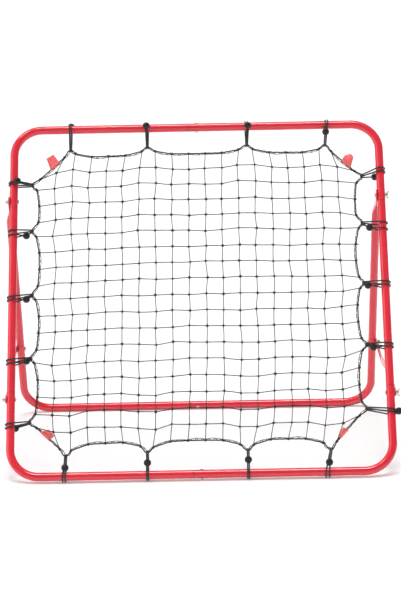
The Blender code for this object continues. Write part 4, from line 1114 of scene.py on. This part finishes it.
def tailPatches():
    share = np.linspace(0, 1, 10)
    tip = np.sqrt(np.clip(1 - share ** 8, 0, 1))
    radius = rope["tailTwine"] * tip * (1 - rope["tailTaper"] * share)
    patches = []
    for spot, way, bend in tails:
        hitch = meetingAt[np.argmin(np.linalg.norm(meetingPoints - spot, axis=1))]
        path = ropeLine[hitch] + rope["tailLength"] * (
            share[:, None] * unit(np.array(way))
            + share[:, None] ** 2 * np.array(bend) * rope["tailBend"])
        cord = roundCord(path, radius, (0.1, 1.0, 0.2), 6)
        patches.append(patch(inFront(cord), 0.0063, share * rope["tailLength"], finish=1))
    return patches


makePiece("laid_edge_rope", ropePatches() + hitchPatches() + selvagePatches() + tailPatches(),
          [laidRope, netTwine], "front_frame", "edge_rope", 60)
print("rope made")

# Ball ties
cords = {
    "radius": 0.0019,
    "facets": 12,
    "step": 0.0014,
    "strandGap": 0.0041,
    "clearance": 0.0003,
    "bite": 0.005,
    "merge": 0.0075,
    "passing": 0.0095,
    "wrapPoints": 15,
    "wrapPlay": 0.0003,
    "loopPoints": 7,
    "loopPlay": 0.0005,
    "loopDepth": 1.2,
}
balls = {
    "radius": 0.0095,
    "ridge": 0.010,              # the parting line, as a share of the radius
    "ridgeWidth": 0.035,         # in radians, as is the mouth's
    "mouthDepth": 0.0032,
    "mouthWidth": 0.30,
}
sideTurns = {"bottom": 0.0, "left": math.pi / 2, "top": math.pi, "right": -math.pi / 2}


# One strand's closed path as points (along the tube, to the front, inward): an arc round the far
# side of the tube, straight to the rope, an arc round the rope and back. The point nearest to the
# ball is drawn to the ball, unless the strand passes the ball at a distance.
def strandPath(inset, slant, spread, centre, offset):
    wrap = tubeRadius + cords["clearance"] + cords["radius"] + cords["wrapPlay"]
    loop = rope["radius"] + cords["loopPlay"] + cords["radius"]
    lean = math.asin((wrap - loop) / inset)
    far = np.linspace(math.pi / 2 - lean, 1.5 * math.pi + lean, cords["wrapPoints"])
    back = np.linspace(-math.pi / 2 + lean, math.pi / 2 - lean, cords["loopPoints"])
    narrow = offset * cords["strandGap"] / 2
    path = np.concatenate([
        np.stack([np.full(len(far), slant + offset * spread / 2), wrap * np.sin(far),
                  wrap * np.cos(far)], axis=1),
        np.stack([np.full(len(back), narrow), loop * np.sin(back),
                  inset + cords["loopDepth"] * loop * np.cos(back)], axis=1)])
    after = np.roll(path, -1, axis=0)
    step, off = (after - path)[:, 1:], (centre - path)[:, 1:]
    share = np.clip((step * off).sum(1) / (step ** 2).sum(1), 0, 1)
    near = path[:, 1:] + share[:, None] * step
    index = int(np.argmin(np.linalg.norm(near - centre[1:], axis=1)))
    towards = np.array((0.0, *(near[index] - centre[1:])))
    size = float(np.linalg.norm(towards))
    passing = path[index, 0] + share[index] * (after[index, 0] - path[index, 0]) - centre[0]
    if abs(passing) <= cords["passing"]:
        bite = centre + towards * min(1.0, cords["bite"] / max(size, cords["bite"] / 2))
        bite[0] += narrow
        kept = np.linalg.norm((path - bite)[:, 1:], axis=1) > cords["merge"]
        path = np.concatenate([path[:index + 1][kept[:index + 1]], bite[None],
                               path[index + 1:][kept[index + 1:]]])
    return path, towards / max(size, 1e-9)


# A moulded ball: radius R (1 + ridge at the parting line), with a countersunk mouth for the cord
# at the pole that faces it.
def ballRows(centre, axis):
    f = np.concatenate([np.linspace(0, 0.55, 8), np.linspace(0.62, math.pi, 26)])
    ridge = balls["ridge"] * np.exp(-((f - math.pi / 2) / balls["ridgeWidth"]) ** 2)
    radius = balls["radius"] * (1 + ridge)
    mouth = balls["mouthDepth"] * np.exp(-(f / balls["mouthWidth"]) ** 4)
    guide = np.array((1.0, 0.0, 0.0)) if abs(axis[0]) < 0.9 else through
    first = unit(guide - guide @ axis * axis)
    t = roundAngles(40)[:, None]
    ring = np.cos(t) * first + np.sin(t) * np.cross(axis, first)
    return (centre + (radius * np.cos(f) - mouth)[:, None, None] * axis
            + (radius * np.sin(f))[:, None, None] * ring)


def ballTie(side, number, station, inset, slant, spread, ball):
    flip = 1 if side in ("bottom", "right") else -1
    centre = np.array((flip * ball[1], ball[2], ball[0]))
    c, s = math.cos(sideTurns[side]), math.sin(sideTurns[side])
    x, z = tieNode(side, station, 0.0)

    def placed(points):
        along, forward, inward = np.moveaxis(points, -1, 0)
        return inFront(np.stack([x + along * c + inward * s, -forward,
                                 z - along * s + inward * c], axis=-1))

    patches = []
    for offset in (-1, 1):
        path, towards = strandPath(inset, flip * slant, spread, centre, offset)
        soft = evenly(softened(evenly(path, cords["step"]), 8), cords["step"])
        patches.append(closedCord(soft, cords["radius"], (1.0, 0.0, 0.0), cords["facets"],
                                  2 * math.pi * cords["radius"],
                                  np.arange(len(soft)) * cords["step"], finish=0, place=placed))
    axis = unit(towards) if np.linalg.norm(towards) > 0.1 else np.array((0.0, 0.0, -1.0))
    patches.append(patch(placed(ballRows(centre, axis)), 0.06, np.linspace(0, 0.03, 34),
                         finish=1))
    makePiece(f"{side}_ball_tie_{number}", patches, [elasticSheath, ballBlack], "front_frame",
              f"ball_tie_{side}_{number}", 45)


for side, row in ties.items():
    for number, tie in enumerate(row, 1):
        ballTie(side, number, *tie)
print("ball ties made")

# Fabric tags. The place is the share of the way along the corner's run of rope, then how far the
# tag points to the front and outward. The drape is the slide and narrowing of the free end, the
# difference of the two sides, the curl in radians and the side that curls.
tags = {
    "width": 0.031,
    "reach": 0.0270,
    "sheet": 0.0005,
    "layers": 0.0003,            # from the fold's middle plane to a layer's, where they lie flat
    "flare": 0.0004,
    "columns": 17,
    "step": 0.0008,
    "ripple": (0.00012, 620.0, 1.3),  # height, radians for each metre across, phase
    "stitchGap": 0.0030,
    "stitchRows": (0.0080, 0.0245),
    "stitchHalf": (0.00105, 0.00030),
    "place": {"top_left": (0.375, 0.0, 1.0), "top_right": (0.64, 0.73, 0.68),
              "bottom_left": (0.63, -0.69, -0.72), "bottom_right": (0.30, -0.85, -0.53)},
    "drape": {"top_left": (-0.0085, 0.26, 0.10, 0.10, 1),
              "top_right": (-0.0070, 0.10, 0.00, 2.9, -1),
              "bottom_left": (0.0, 0.28, 0.0, 0.25, -1),
              "bottom_right": (0.0060, 0.10, 0.0, 0.7, -1)},
}
tagRoot = rope["radius"] + 0.0012  # from here on a tag can curl
tagAround = rope["radius"] + 0.0010 + tags["sheet"] / 2
tagFlat = tagAround * 1.7        # where the two layers come together behind the rope
tagEnd = tagRoot + tags["reach"]


# A strip of webbing folded over the rope: out along one face, round the rope and back along the
# other, w across the fold and r away from the rope. The free end curls like a leaf of paper: at
# share s of its reach L it has turned by f = curl s, so it lies at L sin f / f out and
# L (1 - cos f) / f up, and the two layers stand off that line by h.
def tagSurface(name):
    level, side = name.split("_")
    share, forward, outwardShare = tags["place"][name]
    slide, narrowing, slope, curl, curlSide = tags["drape"][name]
    first, second = withDepth(np.array(corner[level, side]))
    run = unit(second - first)
    middle = first + share * (second - first)
    out = np.array((-1.0 if side == "left" else 1.0, 0.0, 1.0 if level == "top" else -1.0))
    out = unit(out - out @ run * run)
    reach = unit(outwardShare * out - forward * through)
    thick = unit(np.cross(run, reach))
    thick *= 1.0 if thick[1] > 0 else -1.0

    def surface(w, r, h):
        across = w / (tags["width"] / 2)
        far = np.clip(r - tagRoot, 0, None) * (1 + slope * across)
        s = far / tags["reach"]
        f = curl * (0.5 + 0.5 * curlSide * across) ** 1.6 * s + 1e-6
        outWay = np.minimum(r, tagRoot) + far * np.sin(f) / f - h * np.sin(f)
        upWay = far * (1 - np.cos(f)) / f + h * np.cos(f)
        along = w * (1 - narrowing * s) + slide * s
        return (middle + along[..., None] * run + outWay[..., None] * reach
                + upWay[..., None] * thick)

    return surface


# Half the distance between the two layers at r away from the rope.
def layerGap(r):
    return tags["layers"] + tags["flare"] * ((r - tagFlat) / tagEnd) ** 2


def tagPieces(name):
    surface = tagSurface(name)
    outer = np.linspace(tagEnd, tagFlat, 14)
    bend = np.linspace(math.pi * 0.20, math.pi * 1.80, 18)
    profile = np.concatenate([np.stack([outer, layerGap(outer)], axis=1),
                              tagAround * np.stack([np.cos(bend), np.sin(bend)], axis=1),
                              np.stack([outer, -layerGap(outer)], axis=1)[::-1]])
    profile = evenly(profile, tags["step"], closed=False)
    columns = tags["columns"]
    across = np.linspace(-tags["width"] / 2, tags["width"] / 2, columns)
    w, r = np.broadcast_arrays(across, profile[:, :1])
    high, often, phase = tags["ripple"]
    h = profile[:, 1:] + high * np.sin(across * often + phase)
    length = float(np.linalg.norm(np.diff(profile, axis=0), axis=1).sum())
    sheet = patch(inFront(surface(w, r, h)), tags["width"] * columns / (columns - 1),
                  np.linspace(0, length, len(profile)), closedColumns=False)
    piece = makePiece(f"{name}_tag", [sheet], [coralWebbing], "front_frame",
                      f"fabric_tag_{name}", 60)
    wall = piece.modifiers.new("cloth", "SOLIDIFY")
    wall.thickness = tags["sheet"]
    wall.offset = 0.0
    # Stitches: short rounded dashes of thread on both faces, in rows across the strip.
    count = int(tags["width"] / tags["stitchGap"]) - 1
    at = ((np.arange(count) - (count - 1) / 2) * tags["stitchGap"])[:, None, None]
    f, t = np.linspace(0, math.pi, 6)[:, None], roundAngles(6)
    long, thin = tags["stitchHalf"]
    patches = []
    for row in tags["stitchRows"]:
        for face in (-1, 1):
            w, r, h = np.broadcast_arrays(
                at + long * np.cos(f), row + thin * np.sin(f) * np.cos(t),
                face * (layerGap(row) + tags["sheet"] / 2) + thin * np.sin(f) * np.sin(t))
            patches.append(patch(inFront(surface(w, r, h)), 0.0018, np.linspace(0, 0.002, 6)))
    seams = makePiece(f"{name}_tag_stitches", patches, [sewingThread], "front_frame", None,
                      60)


for name in tags["place"]:
    tagPieces(name)
print("tags made")

# Floor, light and background
studio = {
    "floor": "#F3F3F3",
    "floorGlow": 0.16,           # seen by camera and gloss alone, so that the paper reads as white
    "floorSize": 60.0,
    "floorLevel": -0.0008,
    "room": 0.50,
    "glossRoom": 0.12,           # the unlit sides of the room, as gloss sees them
    "whiteFrom": 0.86,           # cosines to straight behind, between which gloss sees white
    "whiteTo": 0.95,
    # softboxes: direction, half width in degrees, strength
    "boxes": (((0.0, -0.04, 1.0), 9.5, 13.0), ((-0.36, 0.02, 0.93), 7.0, 10.0),
              ((-0.88, -0.10, 0.46), 24.0, 1.3)),
    "boxEdge": 0.15,
}


def makeFloor():
    size, low = studio["floorSize"], studio["floorLevel"]
    mesh = bpy.data.meshes.new("studio_floor")
    mesh.from_pydata([(-size, -size, low), (size, -size, low), (size, size, low),
                      (-size, size, low)], [], [(0, 1, 2, 3)])
    floor = bpy.data.objects.new("studio_floor", mesh)
    bpy.context.scene.collection.objects.link(floor)
    made, tree, shader = newFinish("seamless white paper")
    rays = addNode(tree, "LightPath", {}).outputs
    seen = addNode(tree, "Math", {0: rays["Is Camera Ray"], 1: rays["Is Glossy Ray"]},
                   operation="MAXIMUM")
    glow = addNode(tree, "Math", {0: seen, 1: studio["floorGlow"]}, operation="MULTIPLY")
    feed(tree, shader, {"Emission Strength": glow, "Base Color": linearColour(studio["floor"]),
                        "Roughness": 0.9, "Emission Color": (1.0, 1.0, 1.0, 1.0),
                        "Specular IOR Level": 0.2})
    mesh.materials.append(made)


# The room as light: an even grey, with two round softboxes overhead and a weak one to the left.
# Each box is a step on the cosine between a direction and the box's own. Camera and gloss see
# white behind the stand.
def makeWorld():
    world = bpy.data.worlds.new("studio")
    bpy.context.scene.world = world
    world.use_nodes = True
    tree = world.node_tree
    tree.nodes.clear()
    rays = addNode(tree, "LightPath", {}).outputs
    way = addNode(tree, "TexCoord", {}).outputs["Generated"]
    behind = addNode(tree, "VectorMath", {0: way, 1: (0.0, 1.0, 0.0)}, operation="DOT_PRODUCT")
    glossy = addNode(tree, "MapRange", {
        "Value": behind, "From Min": studio["whiteFrom"], "From Max": studio["whiteTo"],
        "To Min": studio["glossRoom"], "To Max": 1.0})
    light = addNode(tree, "Mix", {0: rays["Is Glossy Ray"], 2: studio["room"], 3: glossy},
                    data_type="FLOAT")
    for aim, width, power in studio["boxes"]:
        outer, inner = (math.cos(math.radians(width * (1 + edge)))
                        for edge in (studio["boxEdge"], -studio["boxEdge"]))
        toward = addNode(tree, "VectorMath", {0: way, 1: tuple(unit(np.array(aim)))},
                         operation="DOT_PRODUCT")
        inside = addNode(tree, "MapRange", {"Value": toward, "From Min": outer,
                                            "From Max": inner, "To Max": power})
        light = addNode(tree, "Math", {0: light, 1: inside}, operation="ADD")
    straight = addNode(tree, "Math", {0: rays["Is Camera Ray"], 1: rays["Is Transmission Ray"]},
                       operation="MAXIMUM")
    shown = addNode(tree, "Mix", {0: straight, 2: light, 3: 1.0}, data_type="FLOAT")
    white = addNode(tree, "Background", {"Color": (1.0, 1.0, 1.0, 1.0), "Strength": shown})
    addNode(tree, "OutputWorld", {"Surface": white})


makeFloor()
makeWorld()
bpy.context.scene.view_settings.view_transform = "Standard"
print("studio made")
